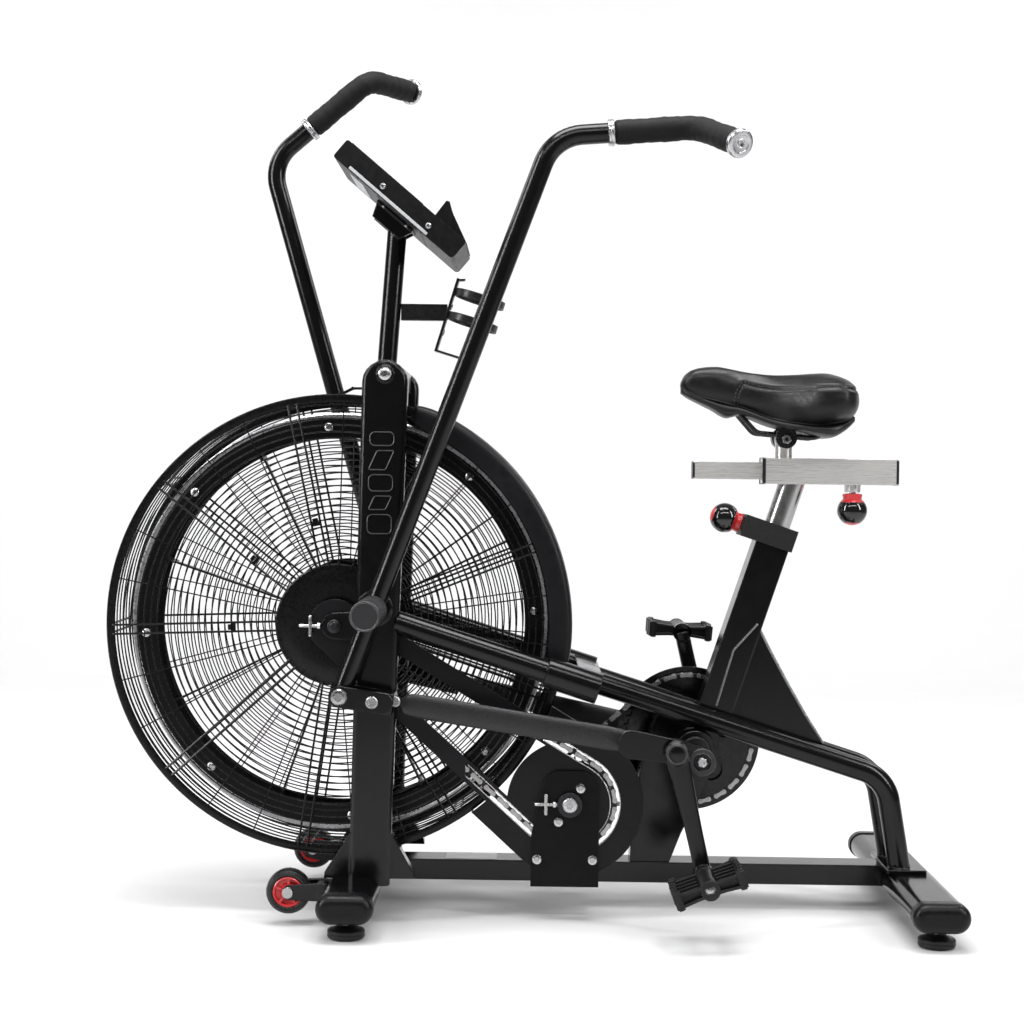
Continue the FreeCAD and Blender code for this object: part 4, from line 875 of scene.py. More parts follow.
def crank_geo(s, P_):
    g = Geo()
    px, pz = P_
    sg = 1 if s < 0 else -1
    ex, ez = CX + sg * 2.0, CZ - sg * 152.0
    g.prism(hull2d(CX, CZ, 20, px, pz, 17), -165, -155)
    # tapered outer arm with an oval section
    n = 9
    dx, dz = ex - px, ez - pz
    ln = math.hypot(dx, dz)
    ux, uz = dx / ln, dz / ln
    nx, nz = -uz, ux
    rings = []
    for i in range(n):
        f = i / (n - 1)
        hw = 16.4 * (1 - f) + 11.4 * f - 1.6 * math.sin(math.pi * f)
        hy = 7.6 - 0.8 * math.sin(math.pi * f)
        cxx, czz = px + dx * f, pz + dz * f
        rings.append([(cxx + nx * a, -185.0 + b, czz + nz * a) for a, b in rrect(2 * hw, 2 * hy, 4.6, 4)])
    g.loft(rings)
    g.lathe((px, -177.0, pz), -Y, [(17.4, 0), (17.6, 13.5), (16.8, 16.0), (15.0, 17.0)], 48)
    # lighter satin band round the boss dome: painted rim highlight on the black boss
    g.lathe((px, -177.0, pz), -Y, [(15.0, 17.0), (14.2, 18.2), (12.0, 18.9)], 48, mi=2)
    g.lathe((px, -177.0, pz), -Y, [(12.0, 18.9), (11.2, 18.0), (6.0, 18.9), (0, 19.3)], 48)
    g.lathe((ex, -177.0, ez), -Y, [(14.4, 0), (14.6, 13), (13.6, 16), (10, 16.4), (6.2, 16.6)], 40)
    g.lathe((px, -160.0, pz), -Y, [(8, 0), (8, 18)], 28)
    g.lathe((ex, -192.0, ez), -Y, [(6.0, 0), (6.0, 92)], 20, mi=1)
    g.lathe((CX, -165.0, CZ), -Y, [(19.0, 0), (19.4, 1.4), (18.0, 2.6), (12.5, 2.6)], 48, mi=2)
    g.lathe((CX, -165.0, CZ), -Y, [(12.5, 2.6), (11.0, 1.4), (7.6, 1.5)], 48)
    g.lathe((CX, -165.0, CZ), -Y, [(7.6, 1.5), (7.4, 5.2), (6.0, 6.2), (3.0, 6.2), (3.0, 4.2), (0, 4.2)], 6, mi=1)
    return g if s < 0 else g.mirrored()


for s, side, P_ in ((-1, "left", PL), (1, "right", PR)):
    crank_geo(s, P_).obj("crank_arm_" + side, ["frame_paint", "bright_trim", "peg_cap"], "crank", side + "_crank", "frame_paint", bevel=0.8, sharp=32)

# --------------------------------------------------------------------- pedals


def pedal_geo(s, ex, ez, tilt):
    g = Geo()
    # outer cage frame, slightly waisted, with teeth
    for sx in (-1, 1):
        for i in range(13):
            f = i / 12.0
            y = -200.5 - 88.0 * f
            w = 6.5
            xx = ex + sx * (46.0 - 1.8 * math.cos(f * 2 * math.pi))
            h = 22.0 + (3.2 if i % 2 == 0 else 0.0)
            g.block((xx, y, ez), (w, 7.4, h))
        g.block((ex + sx * 43.2, -244.5, ez), (3.0, 90, 18))
        for i in range(5):
            y = -208 - 18.0 * i
            g.block((ex + sx * 27, y, ez), (30, 4.0, 17.0))
    for y in (-203.0, -286.5):
        for sz in (-1, 1):
            g.prism([(ex - 46, ez + sz * 10.8), (ex - 18, ez + sz * 8.2), (ex + 18, ez + sz * 8.2), (ex + 46, ez + sz * 10.8),
                     (ex + 46, ez + sz * 6.6), (ex + 18, ez + sz * 4.2), (ex - 18, ez + sz * 4.2), (ex - 46, ez + sz * 6.6)], y - 3.2, y + 3.2)
        for sx in (-1, 1):
            g.prism([(ex + sx * 39, ez - 12.6), (ex + sx * 50, ez - 11), (ex + sx * 50.4, ez + 11), (ex + sx * 39, ez + 12.6)], y - 3.6, y + 3.6)
        g.lathe((ex, y - 3.4, ez), Y, [(7.1, 0), (13.2, 0.2), (13.8, 1.4), (13.8, 5.6), (13.2, 6.8), (7.1, 7.0)], 32)
    g.lathe((ex, -196.0, ez), -Y, [(6.2, 0), (11.0, 0.2), (11.6, 2), (11.6, 6), (13.0, 10), (12.6, 30), (11.6, 46), (12.6, 62), (13.0, 84), (11.8, 90), (9.6, 93), (7.0, 93.6), (7.0, 91.2)], 32)
    g.lathe((ex, -196.0, ez), -Y, [(7.0, 91.2), (5.2, 91.4), (3.6, 92.4), (0, 92.6)], 24, mi=1)
    g.rot_y(ex, ez, tilt)
    return g if s < 0 else g.mirrored()


pedal_geo(-1, CX + 2.0, CZ - 152.0, -20.0).obj("pedal_left", ["pedal_resin", "fastener"], "left_pedal", "left_pedal", "pedal_resin", bevel=0.7)
pedal_geo(1, CX - 2.0, CZ + 152.0, 4.0).obj("pedal_right", ["pedal_resin", "fastener"], "right_pedal", "right_pedal", "pedal_resin", bevel=0.7)

# --------------------------------------------------------------------- chains
PITCH = 12.7


def pr(n):
    return PITCH / (2 * math.sin(math.pi / n))


def chain_geo(x1, z1, n1, x2, z2, n2, yc):
    r1, r2 = pr(n1), pr(n2)
    loop = hull2d(x1, z1, r1, x2, z2, r2, 40)
    pts = [Vector((x, 0, z)) for x, z in loop]
    pts.append(pts[0])
    L = [0.0]
    for i in range(1, len(pts)):
        L.append(L[-1] + (pts[i] - pts[i - 1]).length)
    tot = L[-1]
    n = int(round(tot / PITCH / 2)) * 2
    step = tot / n

    def at(d):
        d = d % tot
        for i in range(1, len(L)):
            if d <= L[i]:
                f = (d - L[i - 1]) / max(1e-9, L[i] - L[i - 1])
                return pts[i - 1].lerp(pts[i], f)
        return pts[-1]
    g = Geo()
    pins = [at(i * step) for i in range(n)]
    for i in range(n):
        a, b = pins[i], pins[(i + 1) % n]
        m = (a + b) / 2
        u = (b - a).normalized()
        w = Vector((-u.z, 0, u.x))
        half = (b - a).length / 2
        outer = i % 2 == 0
        ol = []
        for k in range(9):
            t = math.radians(-70 + 140 * k / 8)
            ol.append((half + 3.9 * math.cos(t), 3.9 * math.sin(t)))
        ol.append((0, 2.6))
        for k in range(9):
            t = math.radians(110 + 140 * k / 8)
            ol.append((-half + 3.9 * math.cos(t), 3.9 * math.sin(t)))
        ol.append((0, -2.6))
        off = 3.0 if outer else 1.9
        for s in (-1, 1):
            y0, y1 = yc + s * off - 0.45, yc + s * off + 0.45
            q = [(m + u * p + w * v) for p, v in ol]
            g.prism([(p.x, p.z) for p in q], y0, y1, mi=0 if outer else 1)
        g.lathe(Vector((a.x, yc - 4.1, a.z)), Y, [(0, 0), (1.7, 0), (1.9, 0.4), (1.9, 7.8), (1.7, 8.2), (0, 8.2)], 10, mi=0)
        g.lathe(Vector((a.x, yc - 1.4, a.z)), Y, [(3.3, 0), (3.3, 2.8)], 12, mi=1)
    return g


g1 = chain_geo(FAN_X, FAN_Z, 12, 84.0, 167.0, 32, -97.0)
g2 = chain_geo(CX, CZ, 48, 84.0, 167.0, 16, 66.0)
g1.add(g2.v, g2.f)
g1.m = g1.m[:len(g1.m) - len(g2.f)] + list(g2.m)
g1.obj("roller_chains", ["chain_steel", "dark_steel"], "root", "drive_chains", "chain_steel", sharp=40)

# thin bright lines round the slots of the near chain guard, along the chain's borders: painted highlight
g = Geo()
for dr in (-7.2, 7.2):
    ring = hull2d(FAN_X, FAN_Z, pr(12) + 7 * (1 if dr > 0 else -1), 84.0, 167.0, pr(32) + 7 * (1 if dr > 0 else -1), 60)
    pts = []
    for i in range(len(ring)):
        a, b = Vector((ring[i][0], -106.2, ring[i][1])), Vector((ring[(i + 1) % len(ring)][0], -106.2, ring[(i + 1) % len(ring)][1]))
        k = max(1, int((b - a).length / 8))
        for j in range(k):
            pts.append(a.lerp(b, j / k))

    def inside(p):
        if 44 <= p.x <= 260 and 118 <= p.z <= 300:
            return True
        if 118 <= p.x <= 260 and 40 <= p.z <= 119:
            return True
        return -66 <= p.x <= 42 and 60 <= p.z and p.z <= 290 - (p.x + 66) * (100 / 108.0)
    run = []
    for p in pts + pts[:2]:
        if inside(p):
            run.append(p)
        else:
            if len(run) > 2:
                g.tube(run, 0.9, 6)
            run = []
    if len(run) > 2:
        g.tube(run, 0.9, 6)
g.obj("guard_slot_edges", "bright_trim", "root", slot="bright_trim")
g = Geo()
rim = hull2d(FAN_X, FAN_Z, 62.2, 84.0, 167.0, 104.2, 120)
run = []
tail = []
for x, z in rim + rim[:1]:
    if math.hypot(x - FAN_X, z - FAN_Z) > 331:
        run.append((x, -105.6, z))
i0 = max(range(len(run)), key=lambda i: 0 if i == 0 else (Vector(run[i]) - Vector(run[i - 1])).length)
run = run[i0:] + run[:i0]
g.tube(run, 1.1, 6)
g.obj("guard_rim_edge", "guard_paint", "root", slot="guard_paint")

# tensioner detail: nuts on the cross bars
g = Geo()
for cx_, cz_, yy in ((84.0, 167.0, -116.0), (FAN_X, FAN_Z, -115.0)):
    g.lathe((cx_ - 34, yy, cz_ - 15), (0, 0, 1), [(0, 0), (2.2, 0), (2.9, 1), (2.9, 29), (2.2, 30), (0, 30)], 16)
    g.lathe((cx_ - 50, yy, cz_), (1, 0, 0), [(0, 0), (2.2, 0), (2.4, 1), (2.4, 26), (4.6, 26), (4.6, 30), (0, 30)], 6)
g.lathe((84.0, -122.0, 167.0), -Y, [(10.4, -3), (10.6, -0.5), (9.4, 0.6), (5.2, 0.8), (5.0, -1), (0, -1)], 32)
g.lathe((FAN_X, -120.0, FAN_Z), -Y, [(9.9, -7), (9.9, 0), (8.6, 0.8), (6.1, 0.9)], 6, mi=1)
g.lathe((FAN_X, -120.0, FAN_Z), -Y, [(6.1, 0.9), (6.0, 4.2), (5.0, 4.9), (0, 4.9)], 24, mi=1)
g.obj("tensioners", ["bright_trim", "dark_steel"], "root", slot="fastener", bevel=0.3)

# --------------------------------------------------------------- ball knobs


def knob_geo(base, d):
    g = Geo()
    ax = Vector((d[0], 0, d[1]))
    o = Vector((base[0], 0, base[1]))
    g.lathe(o, ax, [(0, -28), (4.4, -28), (5.0, -27), (5.0, 1.6)], 24, mi=2)
    g.lathe(o, ax, [(5.0, 1.6), (12.5, 1.9), (14.6, 3.0)], 40, mi=1)
    pr_, mm = [], []
    c = 27.0
    for k in range(25):
        th = math.radians(-52 + 134.0 * k / 24)
        r = 22.0 * math.cos(th)
        if k == 24:
            r = min(r, 6.0)
        pr_.append((max(r, 0.0), c + 21.6 * math.sin(th)))
    pr_.append((0, c + 21.8))
    pr_ = [(14.6, 3.0)] + pr_
    for i in range(len(pr_) - 1):
        t = (pr_[i][1] + pr_[i + 1][1]) / 2
        mm.append(1 if (t < 15.4 or t > 44.2) else 0)
    g.lathe(o, ax, pr_, 48, mis=mm)
    for t in (15.4, 44.2):
        r = 22.0 * math.cos(math.asin(max(-1, min(1, (t - c) / 21.6))))
        ref = ax.orthogonal().normalized()
        w = ax.cross(ref)
        g.tube([o + ax * t + ref * (math.cos(q / 40 * 2 * math.pi) * r) + w * (math.sin(q / 40 * 2 * math.pi) * r) for q in range(40)], 0.35, 5, closed=True, up=ax)
    return g


th = math.radians(18.3)
pd, pn = (math.sin(th), math.cos(th)), (-math.cos(th), math.sin(th))


def post(s, n):
    return (407.5 + pd[0] * s + pn[0] * n, 626.4 + pd[1] * s + pn[1] * n)


knob_geo(post(-79.0, 50.0), pn).obj("knob_post", ["knob", "red_plastic", "bright_trim"], "post_knob", "post_knob", "knob", sharp=40)
knob_geo((497.5, 615.4), (0.0, -1.0)).obj("knob_slider", ["knob", "red_plastic", "bright_trim"], "slider_knob", "slider_knob", "knob", sharp=40)
g = Geo()
kb = post(-79.0, 50.0)
g.lathe((kb[0], 0, kb[1]), (pn[0], 0, pn[1]), [(11, -1), (11.4, 0.4), (9.6, 1.2), (5.2, 1.2)], 6)
g.obj("collar_nut", "bright_trim", "root", slot="fastener")
g = Geo()
g.lathe((497.5, 0, 615.4), (0, 0, 1), [(5.2, 0), (11.2, 0.1), (11.8, 1), (11.8, 10.4), (12.8, 11), (12.8, 11.4)], 6)
g.obj("slider_nut", "bright_trim", "seat_post", slot="fastener", bevel=0.5)
# end caps and edges of the seat slider
g = Geo()
g.loft([[(x, a, 645.4 + b) for a, b in rrect(38.6 - q, 38.6 - q, 3.2, 4)] for x, q in ((558.5, 0.0), (561.6, 0.0), (562.4, 1.4))])
g.loft([[(x, a, 645.4 + b) for a, b in rrect(39.4 - q, 39.4 - q, 3.4, 4)] for x, q in ((362.0, 1.0), (362.6, 0.0), (366.5, 0.0), (367.0, 0.6))], caps=False)
g.obj("slider_caps", ["pan_plastic"], "seat_post", slot="end_cap")
g = Geo()
g.loft([[(x, a, 645.4 + b) for a, b in rrect(25.7 - q, 25.7 - q, 2.6, 4)] for x, q in ((260.4, 1.2), (261.0, 0.0), (263.5, 0.0))])
g.obj("bar_cap", ["pan_plastic"], "slider", slot="end_cap")

# ------------------------------------------------------- transport wheels, feet
for s, side in SIDES:
    g = Geo()
    o = (-310.0, s * 151.0, 47.0)
    g.lathe(o, Y * s, [(21.2, -11.0), (26, -12.0), (29.6, -10.2), (31.3, -6), (31.5, 0), (31.3, 6), (29.6, 10.2), (26, 12.0), (23.4, 11.6), (22.4, 10.4), (21.2, 10.0)], 64, mi=0)
    g.lathe(o, Y * s, [(21.2, 10.6), (20.0, 11.4), (18.2, 10.6), (17.0, 7.0), (12.0, 6.2), (10.0, 8.6), (8.4, 11.8), (6.0, 12.0), (5.0, 11.0), (4.1, 9)], 56, mi=1)
    g.lathe(o, Y * s, [(21.2, -10.6), (18.0, -10.0), (16.5, -6), (10, -6), (8, -11.5), (4.1, -11.5)], 56, mi=1)
    for k in range(5):
        a = math.radians(72 * k + 15)
        c = Vector(o) + Y * s * 7.6
        g.block(c + Vector((math.cos(a) * 14, 0, math.sin(a) * 14)), (8.5, 5.0, 3.0), Matrix.Rotation(-a, 3, "Y"), mi=1)
    g.obj("transport_wheel_" + side, ["tyre", "red_plastic"], side + "_transport_wheel", side + "_transport_wheel", "wheel", sharp=35)
    g = Geo()
    g.lathe((-310.0, s * 163.4, 47.0), Y * s, [(8.2, 0), (8.4, 1.5), (7.6, 3.6), (5.2, 4.8), (3.2, 5.0), (3.0, 3.0), (0, 3.0)], 32)
    g.obj("wheel_bolt_" + side, "bright_trim", "root", slot="fastener")
    # fork arm over the wheel hub
    g = Geo()
    g.prism(hull2d(-268.0, 48.0, 13, -308.0, 47.2, 10.5), s * 163.7, s * 164.6)
    g.block((-262.0, s * 151.0, 48.0), (14, 27, 24))
    g.obj("wheel_fork_" + side, "frame_paint", "root", slot="frame_paint", bevel=0.5)

for nm, x, y in (("front_left_foot", -222.0, -222.0), ("front_right_foot", -222.0, 222.0), ("rear_left_foot", 583.0, -222.0), ("rear_right_foot", 583.0, 222.0)):
    g = Geo()
    g.lathe((x, y, 0), (0, 0, 1), [(0, 0.0), (21, 0.0), (22.5, 1.0), (24.6, 1.2), (25.5, 2.6), (25.5, 5.4), (24.6, 6.0), (24.6, 7.0), (25.3, 7.6), (25.2, 10.6), (24.2, 12.0), (19.0, 13.0), (14.0, 16.0), (12.2, 17.0), (5.0, 17.4)], 56, mi=0)
    g.lathe((x, y, 0), (0, 0, 1), [(5.0, 17.4), (5.0, 52.0), (4.0, 53.0), (0, 53.0)], 24, mi=1)
    for k in range(24):
        a = 2 * math.pi * k / 24
        g.block((x + 24.7 * math.cos(a), y + 24.7 * math.sin(a), 9.2), (1.6, 2.6, 2.4), Matrix.Rotation(a, 3, "Z"))
    g.obj("foot_" + nm.replace("_foot", ""), ["foot_rubber", "fastener"], nm, nm, "foot_rubber", sharp=32)

# ------------------------------------------------------------------ base label
g = Geo()
g.loft([[(-58.5 + a, b, z) for a, b in rrect(76, 40, 3.0, 4)] for z in (67.9, 68.35)])
g.obj("base_label", "label_white", "root", slot="frame_paint")

# ------------------------------------------------------------------ weld beads


def bead(g, pts, r=2.2):
    P = [Vector(p) for p in pts]
    fine, L = [], 0.0
    for i in range(len(P) - 1):
        d = (P[i + 1] - P[i]).length
        k = max(2, int(d / 1.3))
        for j in range(k):
            fine.append(P[i].lerp(P[i + 1], j / k))
    fine.append(P[-1])
    rs = [r * (1 + 0.22 * abs(math.sin(i * 0.8))) for i in range(len(fine))]
    g.tube(fine, rs, 8)


g = Geo()
for s in (-1, 1):
    bead(g, [(352, s * 20.4, 432), (361, s * 20.4, 413), (378, s * 20.4, 380), (402, s * 20.4, 336), (430, s * 20.4, 288), (457, s * 20.4, 246)], 1.8)
    bead(g, [(358, s * 25.2, 421), (323, s * 25.2, 382), (299, s * 25.2, 300)], 1.5)
    bead(g, [(268, s * 25.2, 288), (300, s * 25.2, 276)], 1.6)
    bead(g, [(300, s * 21.0, 273), (457, s * 21.0, 224)], 2.0)
    tb = -0.3155
    for x0_, x1_ in ((300, 455),):
        pts = []
        for i in range(9):
            x = x0_ + (x1_ - x0_) * i / 8
            pts.append((x, s * 27.5, 427.4 + tb * (x + 176.2) + 12.5))
        bead(g, pts, 1.7)
g.obj("weld_beads", "weld", "root", slot="frame_paint")

# --------------------------------------------------------------------- console
ca = math.radians(40.1)
cd, cn = (math.cos(ca), -math.sin(ca)), (math.sin(ca), math.cos(ca))


def con(a, n, y=0.0):
    return Vector((-169.5 + a * cd[0] + n * cn[0], y, 1025.5 + a * cd[1] + n * cn[1]))


def conblock(g, a0, a1, n0, n1, y0, y1, mi=0):
    vs = [con(a, n_, y) for a in (a0, a1) for y in (y0, y1) for n_ in (n0, n1)]
    g.add(vs, [(0, 1, 3, 2), (4, 6, 7, 5), (0, 4, 5, 1), (2, 3, 7, 6), (0, 2, 6, 4), (1, 5, 7, 3)], mi)


g = Geo()
for y0, y1 in ((-95.6, -93.4), (93.4, 95.6)):
    conblock(g, -84, 62, -14.6, -10.2, y0, y1, 0)
conblock(g, -84, -58, -17.4, -15.6, -60, 60, 0)
g.obj("console_strip", "console_grey", "root", slot="console_case", bevel=0.6)
g = Geo()
# bezel round the display
for a0, a1, y0, y1 in ((-106, -101.5, -82, 82), (23.5, 28, -82, 82), (-106, 28, -82, -77.6), (-106, 28, 77.6, 82)):
    conblock(g, a0, a1, 14.5, 17.8, y0, y1)
# raised rib lines on the back and sides
for a in (-70, -30, 10, 50):
    conblock(g, a, a + 2.5, -16.9, -15.0, -80, 80)
conblock(g, 30, 46, 15.2, 16.6, -74, 74)
g.obj("console_bezel", "console_case", "root", slot="console_case", bevel=0.9)
g = Geo()
SEG = {"0": "abcdef", "1": "bc", "2": "abged", "3": "abgcd", "4": "fgbc", "5": "afgcd", "6": "afgedc", "7": "abc", "8": "abcdefg", "9": "abcdfg"}


def digit(g, ch, a, y, h):
    w = h * 0.52
    t = h * 0.10
    bars = {"a": (-h / 2, 0, 1), "g": (0, 0, 1), "d": (h / 2, 0, 1), "f": (-h / 4, -1, 0), "b": (-h / 4, 1, 0), "e": (h / 4, -1, 0), "c": (h / 4, 1, 0)}
    for q in SEG[ch]:
        aa, side_, hor = bars[q]
        if hor:
            conblock(g, a + aa - t / 2, a + aa + t / 2, 16.3, 16.75, y - w / 2 + t * 0.6, y + w / 2 - t * 0.6)
        else:
            conblock(g, a + aa - h / 4 + t * 0.6, a + aa + h / 4 - t * 0.6, 16.3, 16.75, y + side_ * w / 2 - t / 2, y + side_ * w / 2 + t / 2)


for txt, a, h, ys in (("000", -78, 22, (-50, -35, -20)), ("000", -78, 22, (22, 37, 52)), ("0000", -38, 26, (-34, -14, 14, 34)), ("00", 2, 20, (-50, -37)), ("00", 2, 20, (37, 50))):
    for ch, y in zip(txt, ys):
        digit(g, ch, a, y, h)
g.obj("display_digits", "lcd_mark", "root", slot="screen")
g = Geo()
for a, y in ((-30, -96), (56, -96), (-30, 96), (56, 96)):
    s = -1 if y < 0 else 1
    p = con(a, -2.0, s * 95.0)
    g.lathe(p, Y * s, [(4.6, -0.5), (4.8, 0.4), (4.0, 1.8), (2.4, 2.4), (2.2, 1.0), (0, 1.0)], 24)
for a in (-22, 22):
    for s in (-1, 1):
        p = con(a, -18.2, s * 22.0)
        g.lathe(p, (-cn[0], 0, -cn[1]), [(4.2, -1), (4.4, 1), (3.4, 2.4), (0, 2.6)], 20)
g.obj("console_screws", "bright_trim", "root", slot="fastener")
g = Geo()
for y, nm in ((-45.0, "console_button_left"), (45.0, "console_button_right")):
    g = Geo()
    g.lathe(con(37.0, 11.2, y), (cn[0], 0, cn[1]), [(0, 0), (8.0, 0), (8.0, 6.0), (7.2, 7.2), (4.0, 7.0), (0, 6.4)], 36)
    g.obj("cap_" + nm, "console_grey", nm, nm, "console_case", sharp=30)

# bottle-cage screws and rolled edges
g = Geo()
rt, rb = (-90.0, 923.6), (-122.4, 816.0)
rl = math.hypot(rt[0] - rb[0], rt[1] - rb[1])
rd = ((rt[0] - rb[0]) / rl, (rt[1] - rb[1]) / rl)
rn = (rd[1], -rd[0])
for a in (52.0, 88.0):
    for da in (0.6, 9.4):
        c = (rb[0] + rd[0] * (a + da) + rn[0] * 41.0, rb[1] + rd[1] * (a + da) + rn[1] * 41.0)
        ref = Vector((rn[0], 0, rn[1]))
        g.tube([Vector((c[0], 0, c[1])) + ref * (36.8 * math.cos(q / 60 * 2 * math.pi)) + Y * (36.8 * math.sin(q / 60 * 2 * math.pi)) for q in range(60)], 1.5, 8, closed=True)
for a in (30.0, 70.0):
    p = (rb[0] + rd[0] * a + rn[0] * 4.0, rb[1] + rd[1] * a + rn[1] * 4.0)
    g.lathe((p[0], 0, p[1]), (rn[0], 0, rn[1]), [(4.6, -0.5), (4.6, 1.0), (3.2, 2.2), (0, 2.4)], 20, mi=1)
g.obj("bottle_cage_edges", ["cage_strap", "fastener"], "root", slot="cage_strap")

# ---------------------------------------------------------------------- saddle
SEC = [(238, 772, 765.5, 8.5), (246, 787.5, 759.0, 21), (266, 795.5, 749.5, 29), (300, 792.0, 741.5, 32.5), (336, 785.5, 731.5, 38.5),
       (372, 781.5, 717.5, 53), (408, 781.5, 710.5, 78), (440, 783.5, 708.5, 97), (468, 782.5, 712.5, 100), (488, 775.5, 719.5, 84), (499, 757, 736, 50)]


def sec_ring(x, zt, zb, hw, n=44, e=0.62, dish=0.0):
    out = []
    zc, hh = zb + (zt - zb) * 0.50, (zt - zb) / 2.0
    for i in range(n):
        t = 2 * math.pi * i / n
        c, s_ = math.cos(t), math.sin(t)
        y = hw * math.copysign(abs(c) ** e, c)
        z = zc + hh * math.copysign(abs(s_) ** e, s_)
        if s_ > 0:
            z -= dish * math.exp(-(y / 12.0) ** 2)
        if s_ < 0:
            y *= 1.0 - 0.16 * abs(s_) ** 1.5
        out.append((x, y, z))
    return out


g = Geo()
dense = catmull([list(q) for q in SEC], 6)
g.loft([sec_ring(*q, dish=2.2 * max(0.0, math.sin(math.pi * min(1, max(0, (q[0] - 300) / 190.0))))) for q in dense])
sad = g.obj("saddle_pad", ["leather"], "saddle", "saddle_cushion", "leather", sharp=180)
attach(sad, "saddle")
sad.parent = None


def apply_mods(ob):
    dg = bpy.context.evaluated_depsgraph_get()
    nm = bpy.data.meshes.new_from_object(ob.evaluated_get(dg))
    old = ob.data
    ob.modifiers.clear()
    ob.data = nm
    if old.users == 0:
        bpy.data.meshes.remove(old)


rm = sad.modifiers.new("remesh", "REMESH")
rm.mode = "VOXEL"
rm.voxel_size = 0.0048
rm.use_smooth_shade = True
apply_mods(sad)
rest = [v.co.copy() for v in sad.data.vertices]
cl = sad.modifiers.new("cloth", "CLOTH")
cl.settings.quality = 5
cl.settings.mass = 0.3
cl.settings.use_pressure = True
cl.settings.uniform_pressure_force = 4.0
cl.settings.tension_stiffness = 15
cl.settings.compression_stiffness = 15
cl.settings.shear_stiffness = 5
cl.settings.bending_stiffness = 0.5
cl.settings.effector_weights.gravity = 0.0
cl.point_cache.frame_start, cl.point_cache.frame_end = 1, 20
for fr in range(1, 21):
    scene.frame_set(fr)
dg = bpy.context.evaluated_depsgraph_get()
ev = sad.evaluated_get(dg)
moved = [v.co.copy() for v in ev.data.vertices]
sad.modifiers.clear()
scene.frame_set(1)
if len(moved) == len(rest):
    for v, a, b in zip(sad.data.vertices, rest, moved):
        d = b - a
        if d.length > 0.0055:
            d = d.normalized() * 0.0055
        v.co = a + d
# relax the voxel steps
sm = sad.modifiers.new("smooth", "SMOOTH")
sm.factor, sm.iterations = 0.5, 6
ss = sad.modifiers.new("sub", "SUBSURF")
ss.levels = ss.render_levels = 1
apply_mods(sad)

bm = bmesh.new()
bm.from_mesh(sad.data)
bvh = BVHTree.FromBMesh(bm)


def side_pt(x, z, s):
    o = W((x, s * 300.0, z))
    hit = bvh.ray_cast(o, Vector((0, -s, 0)), 0.6)
    return hit[0], hit[1]


def seam_line(pts2, s):
    pts = catmull([list(p) for p in pts2], 12)
    out = []
    for x, z in pts:
        p, nn = side_pt(x, z, s)
        if p is not None:
            out.append((p, nn))
    return out


seams = []
for s in (-1, 1):
    seams.append(seam_line([(331, 773), (326, 765), (322.5, 756.8), (321.3, 748), (321.8, 737)], s))
    seams.append(seam_line([(331, 773), (345, 768.5), (370, 764), (396, 763), (430, 764.5), (460, 765.5), (484, 763.0)], s))
rear = []
for k in range(13):
    q = math.radians(-72 + 144 * k / 12)
    o = W((430 + 160 * math.cos(q), 160 * math.sin(q) * 1.35, 763.0))
    d = (W((430, 0, 763.0)) - o).normalized()
    hit = bvh.ray_cast(o, d, 0.6)
    if hit[0] is not None and hit[0].x * 1000 - OX > 480:
        rear.append((hit[0], hit[1]))
seams.append(rear)
allp = [p for sl in seams for p, _ in sl]
from mathutils.kdtree import KDTree
dens = []
for sl in seams:
    for i in range(len(sl) - 1):
        for j in range(6):
            dens.append(sl[i][0].lerp(sl[i + 1][0], j / 6))
kd = KDTree(len(dens))
for i, p in enumerate(dens):
    kd.insert(p, i)
kd.balance()
bm.normal_update()
for v in bm.verts:
    _, _, d = kd.find(v.co)
    if d < 0.011:
        v.co -= v.normal * (0.0017 * math.exp(-(d / 0.0026) ** 2) - 0.0005 * math.exp(-((d - 0.006) / 0.003) ** 2))
    # long soft creases where the cover is pulled towards the pan
    x = v.co.x * 1000 - OX
    z = v.co.z * 1000
    yy = abs(v.co.y * 1000)
    if z < 752 and yy > 20:
        v.co -= v.normal * (0.0004 * (1 + math.sin(x * 0.16 + z * 0.07)) * min(1, (752 - z) / 20.0))
bvh2 = BVHTree.FromBMesh(bm)
bm.to_mesh(sad.data)
bm.free()
sad.data.polygons.foreach_set("use_smooth", [True] * len(sad.data.polygons))
sad.data.materials.clear()
sad.data.materials.append(M["leather"])
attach(sad, "saddle")

# stitches along both sides of each seam
g = Geo()


def to_mm(p):
    return Vector((p.x * 1000 - OX, p.y * 1000, p.z * 1000))


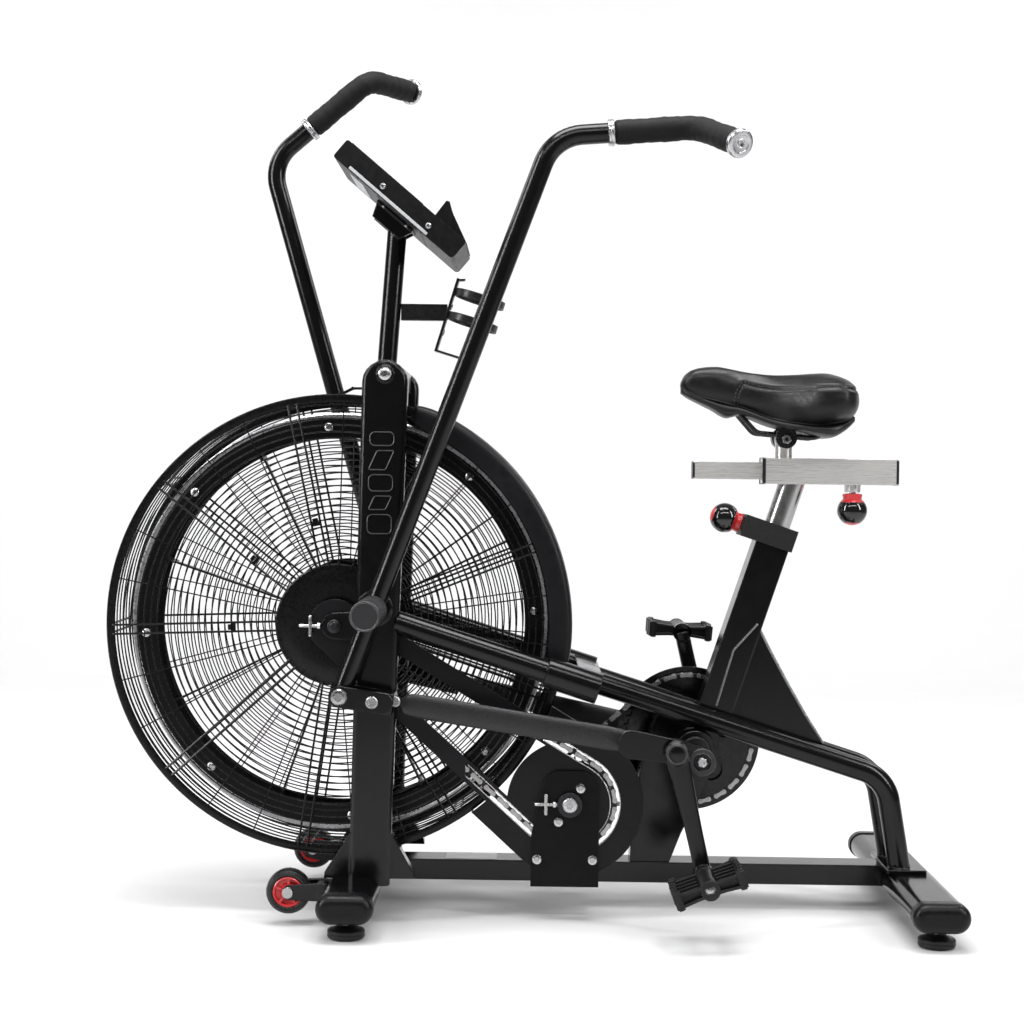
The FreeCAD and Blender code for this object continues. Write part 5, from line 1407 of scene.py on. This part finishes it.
for sl in seams:
    if len(sl) < 3:
        continue
    line = [p for p, _ in sl]
    acc, L = [], 0.0
    for i in range(len(line) - 1):
        d = (line[i + 1] - line[i]).length
        k = max(1, int(d / 0.0006))
        for j in range(k):
            acc.append(line[i].lerp(line[i + 1], j / k))
    step = 7
    for off in (-0.0029, 0.0029):
        i = 0
        while i + 5 < len(acc):
            seg_ = []
            for q in (acc[i], acc[min(i + 2, len(acc) - 1)], acc[min(i + 4, len(acc) - 1)]):
                t = (acc[min(i + 5, len(acc) - 1)] - acc[i]).normalized()
                loc, nn, _, _ = bvh2.find_nearest(q)
                if loc is None:
                    continue
                bn = nn.cross(t).normalized()
                loc2, nn2, _, _ = bvh2.find_nearest(loc + bn * off)
                seg_.append(to_mm(loc2 + nn2 * 0.00012))
            if len(seg_) == 3:
                g.tube(seg_, [0.32, 0.5, 0.32], 6)
            i += step
g.obj("saddle_stitches", "stitch", "saddle", slot="leather")

# base pan under the cushion
g = Geo()
PAN = [(242, 767, 757.5, 8), (254, 759.5, 750, 19), (286, 748, 734.5, 25), (308, 743, 722.5, 25), (331, 737, 725.5, 32), (372, 722, 711, 44), (408, 715, 703.5, 64), (440, 713, 696.5, 76),
       (460, 715, 694.5, 74), (478, 720, 704.0, 62), (492, 727, 716.0, 44)]
dense = catmull([list(q) for q in PAN], 5)
g.loft([sec_ring(q[0], q[1], q[2], q[3], n=32, e=0.55) for q in dense])
g.obj("saddle_pan", ["pan_plastic"], "saddle", slot="leather", sharp=60)
# folded lower edge of the cover
g = Geo()
for s in (-1, 1):
    pts = []
    for q in catmull([list(v) for v in SEC[1:-1]], 5):
        x, zt, zb, hw = q
        z = zb + 4.5
        o = W((x, s * 300.0, z))
        hit = bvh2.ray_cast(o, Vector((0, -s, 0)), 0.6)
        if hit[0] is not None:
            pts.append(to_mm(hit[0] - hit[1] * 0.0002))
    if len(pts) > 4:
        g.tube(pts, 1.25, 8)
g.obj("saddle_lower_piping", "leather_seam", "saddle", slot="leather")

# saddle clamp bolt heads and serrated faces
g = Geo()
for s in (-1, 1):
    o = (395.0, s * 29.6, 694.0)
    for k in range(18):
        a = 2 * math.pi * k / 18
        g.block((o[0] + 12.0 * math.cos(a), s * 30.4, o[2] + 12.0 * math.sin(a)), (4.0, 1.4, 1.5), Matrix.Rotation(-a, 3, "Y"))
    g.lathe(o, Y * s, [(15.6, -3), (15.8, 0.0), (15.0, 0.6)], 40)
    g.lathe((395.0, s * 30.0, 692.0), Y * s, [(7.2, 0), (7.2, 3.6), (6.2, 4.4), (3.0, 4.4), (3.0, 2.2), (0, 2.2)], 6, mi=1)
g.obj("saddle_clamp_detail", ["rail_steel", "fastener"], "saddle", slot="rail_steel")

# --------------------------------------------------------------------- final frame
scene.frame_set(1)
bpy.context.view_layer.update()
